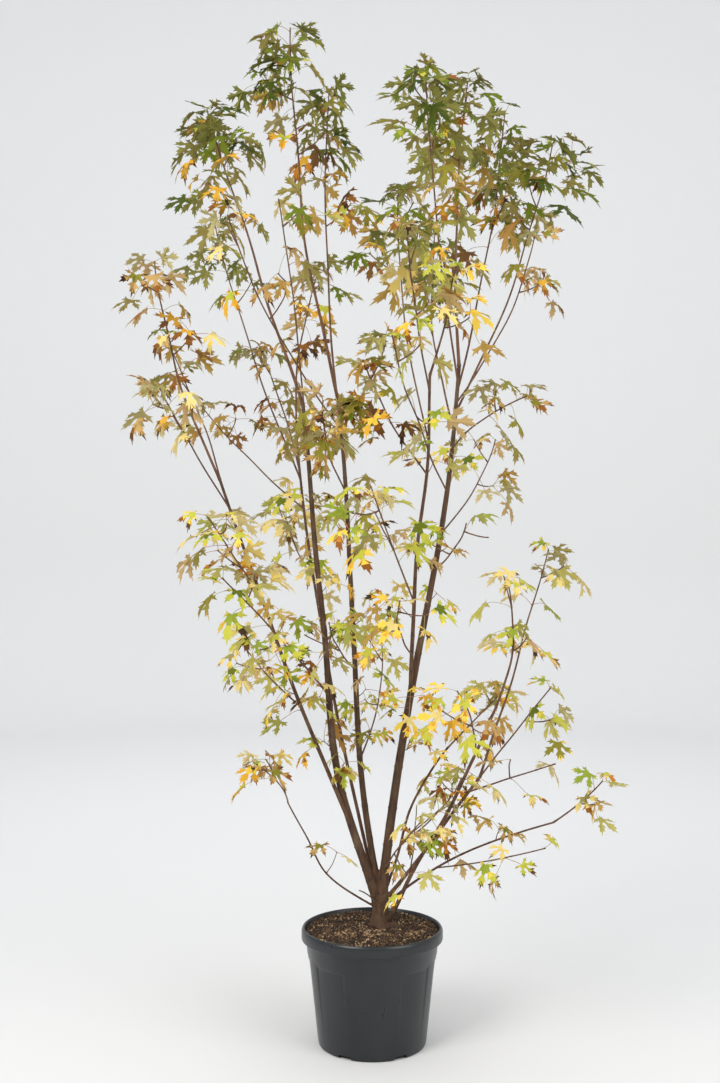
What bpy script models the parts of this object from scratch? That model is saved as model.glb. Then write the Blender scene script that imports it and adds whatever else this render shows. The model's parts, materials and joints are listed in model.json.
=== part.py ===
"""A young silver maple with several stems, standing in a round nursery pot.

Metres, +Z up. The origin is the centre of the pot's flat underside. The low stool in the pot
forks at once into nine stems. Each stem is one tapering limb, and each shoot of foliage is one
mass: a stem that carries on from its limb, with side twigs and leaves set on it in opposite
pairs by a seeded rule. Limbs and shoots follow one formula: a straight line from foot to tip,
a bow that is widest half way, and an S-shaped sway.
"""

import math
import random
from dataclasses import dataclass
from enum import Enum

import bmesh
import bpy
from mathutils import Matrix, Vector
from mathutils.bvhtree import BVHTree

CLEAR = 0.00035  # gap that separate pieces keep where they meet

# Pot: a turned shell with a rolled lip and drain notches in its bottom edge.
POT_HEIGHT = 0.3895
POT_BASE_RADIUS = 0.1837
POT_WALL_TOP_RADIUS = 0.2263
POT_LIP_RADIUS = 0.2424
POT_LIP_HEIGHT = 0.040
POT_LIP_INNER_RADIUS = 0.2310
POT_WALL = 0.0035
POT_FLOOR = 0.005
POT_EDGE = 0.006
POT_SIDES = 24
NOTCHES = 6
NOTCH_FIRST_DEG = 30.0
NOTCH_WIDTH = 0.045
NOTCH_HEIGHT = 0.012

# Potting soil: a plug with a low crown that the stool stands on.
SOIL_TOP = 0.3920
SOIL_EDGE = 0.3790
SOIL_FLAT_RADIUS = 0.075

# Stool: the short trunk with its root flare.
STOOL_X = 0.031
STOOL_BASE_RADIUS = 0.046
STOOL_NECK_RADIUS = 0.0265
STOOL_NECK_HEIGHT = 0.062
STOOL_TOP_HEIGHT = 0.108
STOOL_LEAN = -0.007
STOOL_SIDES = 14
FLARE_LOBES = 4
FLARE_DEPTH = 0.007

# Shoots and leaves.
SHOOT_TIP_RADIUS = 0.0021
TWIG_RADIUS = 0.0024
TWIG_TIP_RADIUS = 0.0020
PETIOLE_RADIUS = 0.0008
PETIOLE_TIP_RADIUS = 0.0009
LEAF_SCALE = 1.12  # the solids have fewer leaves than the plant, so each is larger
LEAF_WIDTH = 0.90  # share of the blade's length
LEAF_WIDEST = 0.46  # share of the blade's length at which it is widest
LEAF_THICK = 0.018  # share of the blade's length
TRIES = 14
FINE_EVERY = 3  # every third leaf is left to the finer model
BARK = (0.135, 0.075, 0.050)
ROUGH_BARK = 0.85


class Tone(Enum):
    """Overall colour of a shoot's leaves."""

    FRESH = (0.20, 0.33, 0.06)
    GREEN = (0.16, 0.24, 0.06)
    TURNING = (0.42, 0.40, 0.08)
    GOLD = (0.58, 0.40, 0.07)
    AMBER = (0.47, 0.26, 0.07)
    TAN = (0.45, 0.33, 0.18)


def seeded(*words):
    """A random generator that depends only on the words given."""
    return random.Random("-".join(str(word) for word in words))


@dataclass(frozen=True)
class Limb:
    """One tapering stem, branch or shoot axis."""

    name: str
    foot: Vector
    tip: Vector
    bow: Vector
    sway: float
    foot_radius: float
    tip_radius: float
    step: float = 0.15  # length of its straight pieces

    def pieces(self):
        """How many straight pieces the axis is built from."""
        return max(1, round((self.tip - self.foot).length / self.step))

    def point(self, share):
        """Place on the straight pieces of the axis at this share of its length."""
        count = self.pieces()
        index = min(int(share * count), count - 1)
        return self.curve(index / count).lerp(self.curve((index + 1) / count), share * count - index)

    def curve(self, share):
        """Place on the smooth axis at this share of its length."""
        wave = seeded("wander", self.name)
        turn, phase = wave.uniform(0, math.tau), wave.uniform(0, math.tau)
        amount = 0.006 * (self.tip - self.foot).length * math.sin(math.pi * min(share, 1.0))
        ripple = amount * math.sin(11.0 * share + phase)
        return (
            self.foot.lerp(self.tip, share)
            + self.bow * (4.0 * share * (1.0 - share))
            + Vector((self.sway * math.sin(math.tau * share), 0.0, 0.0))
            + Vector((math.cos(turn), math.sin(turn), 0.0)) * ripple
        )

    def radius(self, share):
        """Radius at this share of the length."""
        return self.foot_radius + (self.tip_radius - self.foot_radius) * share**0.85

    def heading(self, share):
        """Unit direction of growth at this share of the length."""
        low, high = max(share - 0.01, 0.0), min(share + 0.01, 1.0)
        return (self.point(high) - self.point(low)).normalized()

    def length(self):
        """Length along the axis."""
        points = [self.point(step / 24) for step in range(25)]
        return sum((b - a).length for a, b in zip(points, points[1:]))


@dataclass(frozen=True)
class Stem:
    """Sizes of a limb: where it starts, where it ends and how it bends."""

    name: str
    parent: str  # the limb it leaves, or the stool
    start: tuple  # a place in the stool, or (share of the parent,)
    tip: tuple
    bow: tuple
    sway: float
    girth: tuple  # foot and tip diameters
    collar: float = 0.0  # length of its foot that belongs to the stool
    sides: int = 6


STEMS = (
    Stem("left", "stool", (0.018, 0.000, 0.480), (-0.240, -0.020, 2.185), (-0.057, -0.020), -0.022,
         (0.031, 0.0130), 0.110, 8),
    Stem("middle", "stool", (0.027, 0.000, 0.480), (-0.120, 0.100, 2.220), (-0.019, 0.020), -0.014,
         (0.024, 0.0130), 0.110, 8),
    Stem("right", "stool", (0.031, 0.000, 0.475), (0.310, 0.060, 2.335), (0.010, 0.020), -0.015,
         (0.035, 0.0130), 0.100, 8),
    Stem("back", "stool", (0.020, 0.016, 0.475), (-0.275, 0.300, 2.065), (-0.031, 0.045), 0.002,
         (0.013, 0.0090), 0.105, 6),
    Stem("behind_right", "stool", (0.036, 0.010, 0.470), (0.277, 0.250, 0.960), (-0.029, 0.035), 0.009,
         (0.010, 0.0075), 0.085, 6),
    Stem("pair_left", "stool", (0.060, -0.018, 0.415), (0.383, -0.220, 1.117), (0.006, -0.010), -0.007,
         (0.015, 0.0100), 0.040, 6),
    Stem("pair_right", "stool", (0.041, 0.000, 0.472), (0.367, -0.050, 0.905), (0.008, 0.015), 0.002,
         (0.014, 0.0100), 0.045, 6),
    Stem("lowest_right", "stool", (0.041, 0.006, 0.452), (0.614, -0.060, 0.753), (-0.070, 0.045), 0.006,
         (0.009, 0.0060), 0.060, 6),
    Stem("lowest_left", "stool", (0.018, -0.006, 0.452), (-0.280, -0.160, 0.837), (-0.061, 0.000), -0.019,
         (0.007, 0.0045), 0.050, 6),
    Stem("outer_left", "left", (0.14,), (-0.508, -0.180, 1.908), (-0.012, -0.040), -0.002,
         (0.015, 0.0095), 0.0, 6),
    Stem("front_right", "right", (0.38,), (0.186, -0.280, 2.242), (-0.004, -0.050), -0.008,
         (0.015, 0.0090), 0.0, 6),
)


@dataclass(frozen=True)
class Shoot:
    """Sizes of one mass of foliage: its stem, and the leaves that the rule sets on it."""

    name: str
    limb: str
    share: float  # where it leaves its limb; 1 is the limb's tip
    tip: tuple
    bow: float  # sideways
    leaves: int
    bare: float  # share of the stem below the first leaf
    blade: float  # length of a full-grown blade
    tone: Tone
    girth: float = 0.0062
    spread: float = 0.20  # how far from the stem its space reaches


SHOOTS = (
    Shoot("left_crown", "left", 1.0, (-0.59, 0.06, 3.26), -0.005, 28, 0.50, 0.100, Tone.GREEN, 0.0125, 0.18),
    Shoot("left_side_shoot", "left", 0.955, (-0.31, -0.26, 2.83), 0.010, 11, 0.50, 0.090, Tone.TURNING, 0.0062, 0.14),
    Shoot("left_low_front", "left", 0.41, (-0.46, -0.52, 1.58), 0.015, 18, 0.25, 0.090, Tone.TURNING, 0.0075, 0.19),
    Shoot("outer_low_back", "outer_left", 0.36, (-0.47, 0.30, 1.33), -0.020, 10, 0.20, 0.080, Tone.TURNING, 0.0062, 0.16),
    Shoot("outer_tip", "outer_left", 1.0, (-0.735, -0.16, 2.65), -0.035, 16, 0.42, 0.092, Tone.TAN, 0.0092, 0.14),
    Shoot("outer_inner_tip", "outer_left", 0.96, (-0.75, 0.12, 2.46), 0.015, 9, 0.35, 0.084, Tone.AMBER, 0.0062, 0.13),
    Shoot("outer_low", "outer_left", 0.92, (-0.67, -0.45, 2.18), -0.005, 11, 0.30, 0.084, Tone.TAN, 0.0062, 0.15),
    Shoot("outer_middle", "outer_left", 0.66, (-0.51, -0.50, 1.77), 0.005, 15, 0.15, 0.084, Tone.TURNING, 0.0062, 0.17),
    Shoot("back_left_tip", "back", 0.95, (-0.43, 0.48, 2.48), 0.010, 18, 0.16, 0.090, Tone.AMBER, 0.0075, 0.17),
    Shoot("back_crown", "back", 1.0, (-0.19, 0.36, 2.79), -0.040, 14, 0.30, 0.092, Tone.AMBER, 0.0085, 0.17),
    Shoot("back_long_shoot", "back", 0.93, (-0.63, 0.62, 3.02), -0.025, 14, 0.50, 0.094, Tone.GREEN, 0.0075, 0.16),
    Shoot("far_left_tip", "back", 0.86, (-0.68, 0.56, 2.28), -0.020, 10, 0.50, 0.088, Tone.AMBER, 0.0062, 0.15),
    Shoot("back_middle", "back", 0.69, (-0.37, 0.62, 1.88), -0.010, 16, 0.10, 0.088, Tone.TURNING, 0.0062, 0.19),
    Shoot("top_left", "middle", 1.0, (-0.29, 0.02, 3.54), -0.040, 21, 0.58, 0.100, Tone.GREEN, 0.0125, 0.18),
    Shoot("top_middle", "middle", 0.96, (-0.16, 0.34, 3.45), -0.030, 21, 0.48, 0.100, Tone.GREEN, 0.0090, 0.18),
    Shoot("middle_left_shoot", "middle", 0.94, (-0.45, -0.50, 2.70), -0.045, 11, 0.40, 0.088, Tone.TURNING, 0.0062, 0.15),
    Shoot("middle_upper", "middle", 0.81, (-0.16, -0.34, 2.15), -0.025, 14, 0.15, 0.090, Tone.TAN, 0.0062, 0.20),
    Shoot("middle_low_left", "middle", 0.45, (-0.14, -0.36, 1.44), -0.015, 11, 0.15, 0.082, Tone.FRESH, 0.0062, 0.20),
    Shoot("middle_low_right", "middle", 0.27, (0.04, 0.40, 1.35), 0.030, 12, 0.20, 0.084, Tone.FRESH, 0.0062, 0.20),
    Shoot("right_top", "right", 1.0, (0.35, 0.12, 3.39), -0.025, 22, 0.45, 0.100, Tone.GREEN, 0.0125, 0.19),
    Shoot("right_top_left", "right", 0.97, (0.17, -0.34, 3.24), -0.020, 22, 0.42, 0.100, Tone.GREEN, 0.0080, 0.19),
    Shoot("right_top_right", "right", 0.95, (0.52, 0.40, 3.39), 0.025, 20, 0.34, 0.100, Tone.GREEN, 0.0080, 0.19),
    Shoot("far_right_tip", "right", 0.91, (0.68, 0.26, 3.21), 0.040, 22, 0.55, 0.104, Tone.GREEN, 0.0085, 0.18),
    Shoot("far_right_low", "right", 0.93, (0.56, -0.08, 2.76), 0.040, 9, 0.45, 0.088, Tone.TAN, 0.0062, 0.15),
    Shoot("right_back_shoot", "right", 0.88, (0.27, 0.66, 3.03), -0.040, 17, 0.42, 0.098, Tone.GREEN, 0.0075, 0.19),
    Shoot("right_mid_side", "right", 0.84, (0.49, -0.36, 2.16), -0.035, 10, 0.35, 0.084, Tone.TAN, 0.0062, 0.14),
    Shoot("right_front_shoot", "right", 0.76, (0.05, -0.66, 2.30), -0.025, 15, 0.25, 0.090, Tone.TURNING, 0.0062, 0.20),
    Shoot("right_low_side", "right", 0.68, (0.48, 0.42, 2.12), 0.030, 12, 0.25, 0.084, Tone.TAN, 0.0062, 0.17),
    Shoot("right_mid_back", "right", 0.61, (0.29, -0.42, 1.75), 0.015, 12, 0.18, 0.080, Tone.FRESH, 0.0062, 0.17),
    Shoot("front_crown", "front_right", 1.0, (0.25, -0.46, 2.54), 0.010, 12, 0.15, 0.090, Tone.GOLD, 0.0085, 0.18),
    Shoot("front_left_shoot", "front_right", 0.95, (0.10, -0.60, 2.60), -0.010, 15, 0.30, 0.092, Tone.FRESH, 0.0062, 0.19),
    Shoot("front_tall_shoot", "front_right", 0.80, (0.09, -0.08, 2.92), -0.030, 15, 0.48, 0.098, Tone.GREEN, 0.0062, 0.18),
    Shoot("front_side_shoot", "front_right", 0.70, (-0.03, -0.54, 2.24), -0.025, 14, 0.15, 0.088, Tone.AMBER, 0.0062, 0.20),
    Shoot("front_mid", "front_right", 0.30, (-0.01, -0.62, 1.85), -0.005, 18, 0.15, 0.088, Tone.TURNING, 0.0062, 0.21),
    Shoot("front_low", "front_right", 0.13, (0.08, -0.50, 1.51), -0.025, 12, 0.15, 0.082, Tone.GOLD, 0.0062, 0.19),
    Shoot("behind_right_tip", "behind_right", 1.0, (0.52, 0.52, 1.15), 0.005, 15, 0.12, 0.086, Tone.GOLD, 0.0070, 0.16),
    Shoot("low_back", "behind_right", 0.34, (0.34, 0.38, 0.83), 0.035, 10, 0.25, 0.078, Tone.GOLD, 0.0062, 0.18),
    Shoot("pair_left_tip", "pair_left", 1.0, (0.42, -0.40, 1.57), 0.040, 12, 0.20, 0.082, Tone.GOLD, 0.0095, 0.15),
    Shoot("pair_left_side", "pair_left", 0.82, (0.25, -0.54, 1.24), 0.020, 12, 0.18, 0.084, Tone.GOLD, 0.0062, 0.18),
    Shoot("pair_right_upper", "pair_right", 1.0, (0.64, 0.16, 1.69), 0.010, 17, 0.34, 0.082, Tone.TURNING, 0.0095, 0.14),
    Shoot("pair_right_low", "pair_right", 0.95, (0.59, -0.18, 1.22), -0.005, 8, 0.35, 0.080, Tone.TURNING, 0.0062, 0.14),
    Shoot("pair_right_side", "pair_right", 0.88, (0.58, -0.32, 0.99), -0.020, 10, 0.22, 0.078, Tone.TURNING, 0.0062, 0.15),
    Shoot("low_centre", "right", 0.055, (0.15, -0.30, 0.80), -0.015, 11, 0.20, 0.078, Tone.FRESH, 0.0062, 0.18),
    Shoot("lowest_right_tip", "lowest_right", 1.0, (0.775, -0.10, 0.90), 0.010, 10, 0.05, 0.076, Tone.TURNING, 0.0058, 0.13),
    Shoot("lowest_right_side", "lowest_right", 0.43, (0.55, -0.30, 0.72), 0.000, 9, 0.20, 0.074, Tone.TURNING, 0.0050, 0.13),
    Shoot("lowest_left_tip", "lowest_left", 1.0, (-0.39, -0.22, 0.98), 0.025, 9, 0.02, 0.076, Tone.AMBER, 0.0044, 0.13),
)


def material(name, colour, roughness):
    """A plain painted surface."""
    made = bpy.data.materials.new(name)
    made.use_nodes = True
    shader = made.node_tree.nodes["Principled BSDF"]
    shader.inputs["Base Color"].default_value = (*colour, 1.0)
    shader.inputs["Roughness"].default_value = roughness
    shader.inputs["Metallic"].default_value = 0.0
    return made


def object_of(name, mesh_data, finish=None):
    """A new object in the scene that holds this bmesh, which is freed."""
    bmesh.ops.recalc_face_normals(mesh_data, faces=mesh_data.faces[:])
    mesh = bpy.data.meshes.new(name)
    mesh_data.to_mesh(mesh)
    mesh_data.free()
    made = bpy.data.objects.new(name, mesh)
    bpy.context.scene.collection.objects.link(made)
    if finish is not None:
        mesh.materials.append(finish)
    return made


def across(direction):
    """Two unit vectors at right angles to a direction and to each other."""
    first = direction.cross(Vector((0.0, 1.0, 0.0)))
    if first.length < 0.2:
        first = direction.cross(Vector((1.0, 0.0, 0.0)))
    first.normalize()
    return first, direction.cross(first).normalized()


def loft(sections, point=None, folds=0):
    """A closed skin over rings of equal count, ended by flat caps or by a point.

    Where it ends in a point, the four-sided faces below the last ring are split along one
    diagonal or the other, as the bits of folds say.
    """
    made = bmesh.new()
    rings = [[made.verts.new(place) for place in ring] for ring in sections]
    count = len(rings[0])
    for low, high in zip(rings, rings[1:]):
        for index in range(count):
            after = (index + 1) % count
            corners = [low[index], low[after], high[after], high[index]]
            if point is None or high is not rings[-1]:
                made.faces.new(corners)
                continue
            if folds >> index & 1:
                corners = corners[1:] + corners[:1]
            made.faces.new((corners[0], corners[1], corners[2]))
            made.faces.new((corners[0], corners[2], corners[3]))
    made.faces.new(rings[0][::-1])
    if point is None:
        made.faces.new(rings[-1])
    else:
        end = made.verts.new(point)
        for index in range(count):
            made.faces.new((rings[-1][index], rings[-1][(index + 1) % count], end))
    return made


def crosses_itself(skin):
    """Whether two faces that share no corner meet."""
    skin.faces.ensure_lookup_table()
    tree = BVHTree.FromBMesh(skin)
    for first, second in tree.overlap(tree):
        if first < second and not set(skin.faces[first].verts) & set(skin.faces[second].verts):
            return True
    return False


def tube(limb, first, last, sides, grow=0.0):
    """The limb's skin from one share of its length to another, as a closed tapering tube."""
    count = limb.pieces()
    last_place = limb.point(last) + limb.heading(last) * grow
    between = [index / count for index in range(1, count) if first + 0.01 < index / count < last - 0.01]
    sections = []
    side, _ = across(limb.heading(first))
    for share in (first, *between, last):
        heading = limb.heading(share)
        side = (side - heading * side.dot(heading)).normalized()
        other = heading.cross(side)
        radius = limb.radius(share) + grow
        centre = last_place if share == last else limb.point(share)
        sections.append([
            centre
            + side * (radius * math.cos(math.tau * corner / sides))
            + other * (radius * math.sin(math.tau * corner / sides))
            for corner in range(sides)
        ])
    return loft(sections)


def apply_all(thing):
    """Applies every modifier of an object."""
    bpy.context.view_layer.objects.active = thing
    for modifier in list(thing.modifiers):
        bpy.ops.object.modifier_apply(modifier=modifier.name)


def fuse(thing, pieces, solver="EXACT"):
    """Joins the pieces to the object by one union, then removes them."""
    group = bpy.data.collections.new(f"{thing.name}_pieces")
    bpy.context.scene.collection.children.link(group)
    for piece in pieces:
        bpy.context.scene.collection.objects.unlink(piece)
        group.objects.link(piece)
    union = thing.modifiers.new("Fuse", "BOOLEAN")
    union.operation = "UNION"
    union.operand_type = "COLLECTION"
    union.collection = group
    union.solver = solver
    apply_all(thing)
    remove(pieces)
    bpy.data.collections.remove(group)


def cut(thing, cutter):
    """Cuts one object out of another, then removes it."""
    difference = thing.modifiers.new("Cut", "BOOLEAN")
    difference.operation = "DIFFERENCE"
    difference.object = cutter
    apply_all(thing)
    remove([cutter])


def remove(things):
    """Takes objects and their meshes out of the file."""
    for thing in things:
        mesh = thing.data
        bpy.data.objects.remove(thing)
        bpy.data.meshes.remove(mesh)


def keep_largest(thing):
    """Drops any loose scrap, so that one connected body stays."""
    skin = bmesh.new()
    skin.from_mesh(thing.data)
    left, bodies = set(skin.verts), []
    while left:
        body, front = set(), [left.pop()]
        while front:
            corner = front.pop()
            body.add(corner)
            for edge in corner.link_edges:
                other = edge.other_vert(corner)
                if other in left:
                    left.remove(other)
                    front.append(other)
        bodies.append(body)
    bodies.sort(key=len)
    for body in bodies[:-1]:
        bmesh.ops.delete(skin, geom=list(body), context="VERTS")
    skin.to_mesh(thing.data)
    skin.free()
    return len(bodies) - 1


def turned(profile, sides):
    """A solid turned about the Z axis from a closed profile of (radius, height) corners."""
    made = bmesh.new()
    corners = [made.verts.new((radius, 0.0, height)) for radius, height in profile]
    edges = [made.edges.new(pair) for pair in zip(corners, corners[1:])]
    bmesh.ops.spin(made, geom=corners + edges, cent=(0.0, 0.0, 0.0), axis=(0.0, 0.0, 1.0),
                   angle=math.tau, steps=sides, use_merge=True)
    bmesh.ops.remove_doubles(made, verts=made.verts[:], dist=1e-5)
    return made


def build_pot():
    """The round pot: tapered wall, rolled lip and drain notches."""
    inner = POT_BASE_RADIUS - POT_WALL
    lip_foot = POT_HEIGHT - POT_LIP_HEIGHT
    profile = (
        (0.0, 0.0),
        (POT_BASE_RADIUS - POT_EDGE, 0.0),
        (POT_BASE_RADIUS, POT_EDGE * 0.8),
        (POT_WALL_TOP_RADIUS, lip_foot),
        (POT_LIP_RADIUS - 0.004, lip_foot),
        (POT_LIP_RADIUS, lip_foot + 0.005),
        (POT_LIP_RADIUS, POT_HEIGHT - 0.009),
        (POT_LIP_RADIUS - 0.004, POT_HEIGHT),
        (POT_LIP_INNER_RADIUS + 0.002, POT_HEIGHT),
        (POT_LIP_INNER_RADIUS, POT_HEIGHT - 0.003),
        (POT_WALL_TOP_RADIUS - POT_WALL, lip_foot),
        (inner, POT_FLOOR),
        (0.0, POT_FLOOR),
    )
    pot = object_of("pot", turned(profile, POT_SIDES), material("pot_plastic", (0.030, 0.037, 0.045), 0.45))
    cutters = []
    for index in range(NOTCHES):
        angle = math.radians(NOTCH_FIRST_DEG + index * 360.0 / NOTCHES)
        block = bmesh.new()
        bmesh.ops.create_cube(block, size=1.0)
        bmesh.ops.scale(block, vec=(NOTCH_WIDTH, 0.026, NOTCH_HEIGHT * 2.0), verts=block.verts[:])
        bmesh.ops.translate(block, vec=(0.0, -POT_BASE_RADIUS, 0.0), verts=block.verts[:])
        bmesh.ops.rotate(block, cent=(0.0, 0.0, 0.0), matrix=Matrix.Rotation(angle, 3, "Z"),
                         verts=block.verts[:])
        cutters.append(object_of(f"notch_{index}", block))
    for cutter in cutters:
        cut(pot, cutter)
    return pot


def soil_height(radius):
    """Height of the soil's crown at this distance from the pot's axis."""
    if radius <= SOIL_FLAT_RADIUS:
        return SOIL_TOP
    edge = POT_WALL_TOP_RADIUS
    share = min(1.0, (radius - SOIL_FLAT_RADIUS) / (edge - SOIL_FLAT_RADIUS))
    return SOIL_TOP + (SOIL_EDGE - SOIL_TOP) * (1.0 - math.cos(math.pi * share)) / 2.0


def build_soil():
    """The soil plug, clear of the wall and the floor of the pot and over the drain notches."""
    gap = 0.0006
    foot = NOTCH_HEIGHT + 0.003
    slope = (POT_WALL_TOP_RADIUS - POT_BASE_RADIUS) / (POT_HEIGHT - POT_LIP_HEIGHT)
    inner = POT_BASE_RADIUS - POT_WALL - gap - 0.0010
    lip_foot = POT_HEIGHT - POT_LIP_HEIGHT
    top_radius = POT_WALL_TOP_RADIUS - POT_WALL - gap
    steps = [SOIL_FLAT_RADIUS + (top_radius - SOIL_FLAT_RADIUS) * index / 2 for index in range(3)]
    profile = [(0.0, POT_FLOOR + CLEAR), (inner - 0.016, POT_FLOOR + CLEAR), (inner - 0.012, foot),
               (inner + slope * foot, foot + 0.004), (top_radius, lip_foot), (top_radius + 0.003, soil_height(9.0))]
    profile += [(radius, soil_height(radius)) for radius in reversed(steps[:-1])]
    profile += [(0.0, SOIL_TOP)]
    return object_of("soil", turned(profile, POT_SIDES), material("potting_soil", (0.085, 0.055, 0.032), 0.95))


def stool_skin():
    """The short trunk: flared and lobed at its flat foot, narrow at the neck, wider at the fork."""
    heights = (0.0, 0.010, 0.026, STOOL_NECK_HEIGHT, 0.085, STOOL_TOP_HEIGHT)
    sections = []
    for height in heights:
        share = height / STOOL_TOP_HEIGHT
        flare = math.exp(-height / 0.020)
        radius = STOOL_NECK_RADIUS + (STOOL_BASE_RADIUS - STOOL_NECK_RADIUS) * flare
        radius += 0.004 * max(0.0, share - 0.6) / 0.4
        ring = []
        for corner in range(STOOL_SIDES):
            angle = math.tau * corner / STOOL_SIDES
            lobe = FLARE_DEPTH * flare * math.cos(FLARE_LOBES * angle)
            reach = radius + lobe + 0.006 * flare * math.cos(angle)
            ring.append(Vector((
                STOOL_X + STOOL_LEAN * share + reach * math.cos(angle),
                reach * math.sin(angle),
                SOIL_TOP + CLEAR + height,
            )))
        sections.append(ring)
    return loft(sections)


def limbs_of_stems():
    """Every stem's axis by name, each rising from the stool or from its parent."""
    limbs = {}
    for stem in STEMS:
        foot = Vector(stem.start) if stem.parent == "stool" else limbs[stem.parent].point(stem.start[0])
        limbs[stem.name] = Limb(stem.name, foot, Vector(stem.tip), Vector((*stem.bow, 0.0)), stem.sway,
                                stem.girth[0] / 2.0, stem.girth[1] / 2.0)
    return limbs


def axis_of(shoot, limbs):
    """The axis of a shoot's stem: shoots leave wide, then turn up."""
    foot = limbs[shoot.limb].point(shoot.share)
    tip = Vector(shoot.tip)
    bow = Vector((shoot.bow, 0.10 * (tip.y - foot.y), 0.0))
    return Limb(shoot.name, foot, tip, bow, 0.0, shoot.girth / 2.0, SHOOT_TIP_RADIUS, 0.23)


@dataclass(frozen=True)
class Leaf:
    """Place and turn of one leaf: petiole from root to base, blade from base to tip."""

    root: Vector
    base: Vector
    along: Vector
    side: Vector
    up: Vector
    length: float

    def corner(self, along, side, up=0.0):
        """Place on the blade, in shares of its length."""
        return self.base + (self.along * along + self.side * side + self.up * up) * self.length

    def skin(self):
        """A three-sided petiole that opens into a flat kite-shaped blade, or None if it would cross itself."""
        run = (self.base - self.root).normalized()
        half = LEAF_WIDTH / 2.0
        mitre = (run + self.along).normalized()
        mid_side = (self.side - mitre * self.side.dot(mitre)).normalized()
        mid_over = mid_side.cross(mitre)
        foot_side = (mid_side - run * mid_side.dot(run)).normalized()
        foot_over = foot_side.cross(run)
        thick, thin = PETIOLE_RADIUS, PETIOLE_TIP_RADIUS
        sections = (
            (self.root - foot_side * thick, self.root + foot_over * thick, self.root + foot_side * thick),
            (self.base - mid_side * thin, self.base + mid_over * thin * 1.4, self.base + mid_side * thin),
            (self.corner(LEAF_WIDEST, -half), self.corner(LEAF_WIDEST * 0.9, 0.0, LEAF_THICK),
             self.corner(LEAF_WIDEST, half)),
        )
        for folds in range(8):
            made = loft(sections, self.corner(1.0, 0.0), folds)
            if not crosses_itself(made):
                return made
            made.free()
        return None


@dataclass(frozen=True)
class Bud:
    """A place on a stem or twig where the rule sets a leaf."""

    host: Limb
    share: float
    turn: float
    size: float
    age: float  # 0 at the growing tip, 1 at the oldest leaf


def twigs_and_buds(shoot, axis):
    """The side twigs of a shoot, and the places of its leaves in order.

    Leaves stand in opposite pairs, each pair turned a quarter against the last. Every other node
    carries short side twigs with leaves of their own.
    """
    rule = seeded("twigs", shoot.name)
    twigs, buds = [], []
    on_twigs = round(shoot.leaves * 0.52)
    twig_count = max(1, round(on_twigs / 4.0))
    on_stem = shoot.leaves - on_twigs
    turn = rule.uniform(0.0, math.tau)
    pairs = math.ceil(on_stem / 2)
    for index in range(on_stem):
        pair = index // 2
        share = 1.0 - (1.0 - shoot.bare) * (pair / max(1, pairs)) ** 1.4
        side = turn + math.pi * (index % 2) + math.pi / 2.0 * pair + rule.uniform(-0.35, 0.35)
        age = pair / max(1, pairs - 1)
        size = (0.82 + 0.24 * min(1.0, age * 2.5)) * rule.uniform(0.90, 1.10)
        buds.append(Bud(axis, share - 0.006 - 0.006 * (index % 2), side, size, age))
    for index in range(twig_count):
        share = shoot.bare + (0.94 - shoot.bare) * ((index + 0.5 + rule.uniform(-0.2, 0.2)) / twig_count) ** 0.75
        side = turn + 2.4 * index + rule.uniform(-0.4, 0.4)
        length = shoot.spread * rule.uniform(0.45, 0.80)
        twigs.append((share, side, length))
    return twigs, buds, on_twigs


def twig_axis(axis, name, share, side, length):
    """The axis of a side twig: out from the stem, then up."""
    heading = axis.heading(share)
    first, second = across(heading)
    out = first * math.cos(side) + second * math.sin(side)
    foot = axis.point(share)
    lean = (heading * 0.55 + out * 0.80 + Vector((0.0, 0.0, 0.12))).normalized()
    tip = foot + lean * length
    bow = (out - heading * 0.4) * (0.06 * length)
    return Limb(name, foot, tip, bow, 0.0, TWIG_RADIUS, TWIG_TIP_RADIUS, 0.09)


def leaf_at(bud, blade, attempt, name):
    """One try at a leaf: the petiole leans out from its twig, and the blade hangs from its end."""
    rule = seeded(name, attempt)
    heading = bud.host.heading(bud.share)
    first, second = across(heading)
    turn = bud.turn + rule.uniform(-0.3, 0.3) * (1.0 + attempt * 0.35)
    out = first * math.cos(turn) + second * math.sin(turn)
    length = blade * LEAF_SCALE * bud.size * (1.0 - 0.02 * attempt)
    opening = math.radians(rule.uniform(46.0, 82.0))
    lean = (heading * math.cos(opening) + out * math.sin(opening)).normalized()
    stalk = length * rule.uniform(0.55, 1.0) * (0.6 + 0.4 * min(1.0, bud.age * 2.0))
    foot = bud.host.point(bud.share)
    root = foot
    droop = math.radians(rule.triangular(-25.0 + 20.0 * bud.age, 72.0 + 12.0 * bud.age, 14.0 + 34.0 * bud.age))
    base = foot + lean * stalk - Vector((0.0, 0.0, 0.10 * stalk * (1.0 + bud.age)))
    flat = Vector((lean.x, lean.y, 0.0))
    flat = flat.normalized() if flat.length > 0.05 else Vector((out.x, out.y, 0.0)).normalized()
    swing = rule.uniform(-0.6, 0.6)
    flat = Matrix.Rotation(swing, 3, "Z") @ flat
    along = (flat * math.cos(droop) - Vector((0.0, 0.0, 1.0)) * math.sin(droop)).normalized()
    run = (base - root).normalized()
    while along.dot(run) < -0.05:
        along = (along + run * 0.15).normalized()
    side = along.cross(Vector((0.0, 0.0, 1.0)))
    side = side.normalized() if side.length > 0.05 else Vector((0.0, 1.0, 0.0)).cross(along).normalized()
    roll = Matrix.Rotation(math.radians(rule.uniform(-50.0, 50.0)), 3, along)
    side = roll @ side
    return Leaf(root, base, along, side, side.cross(along).normalized(), length)


def tree_of(skin):
    """Search tree over a bmesh."""
    return BVHTree.FromBMesh(skin)


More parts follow.
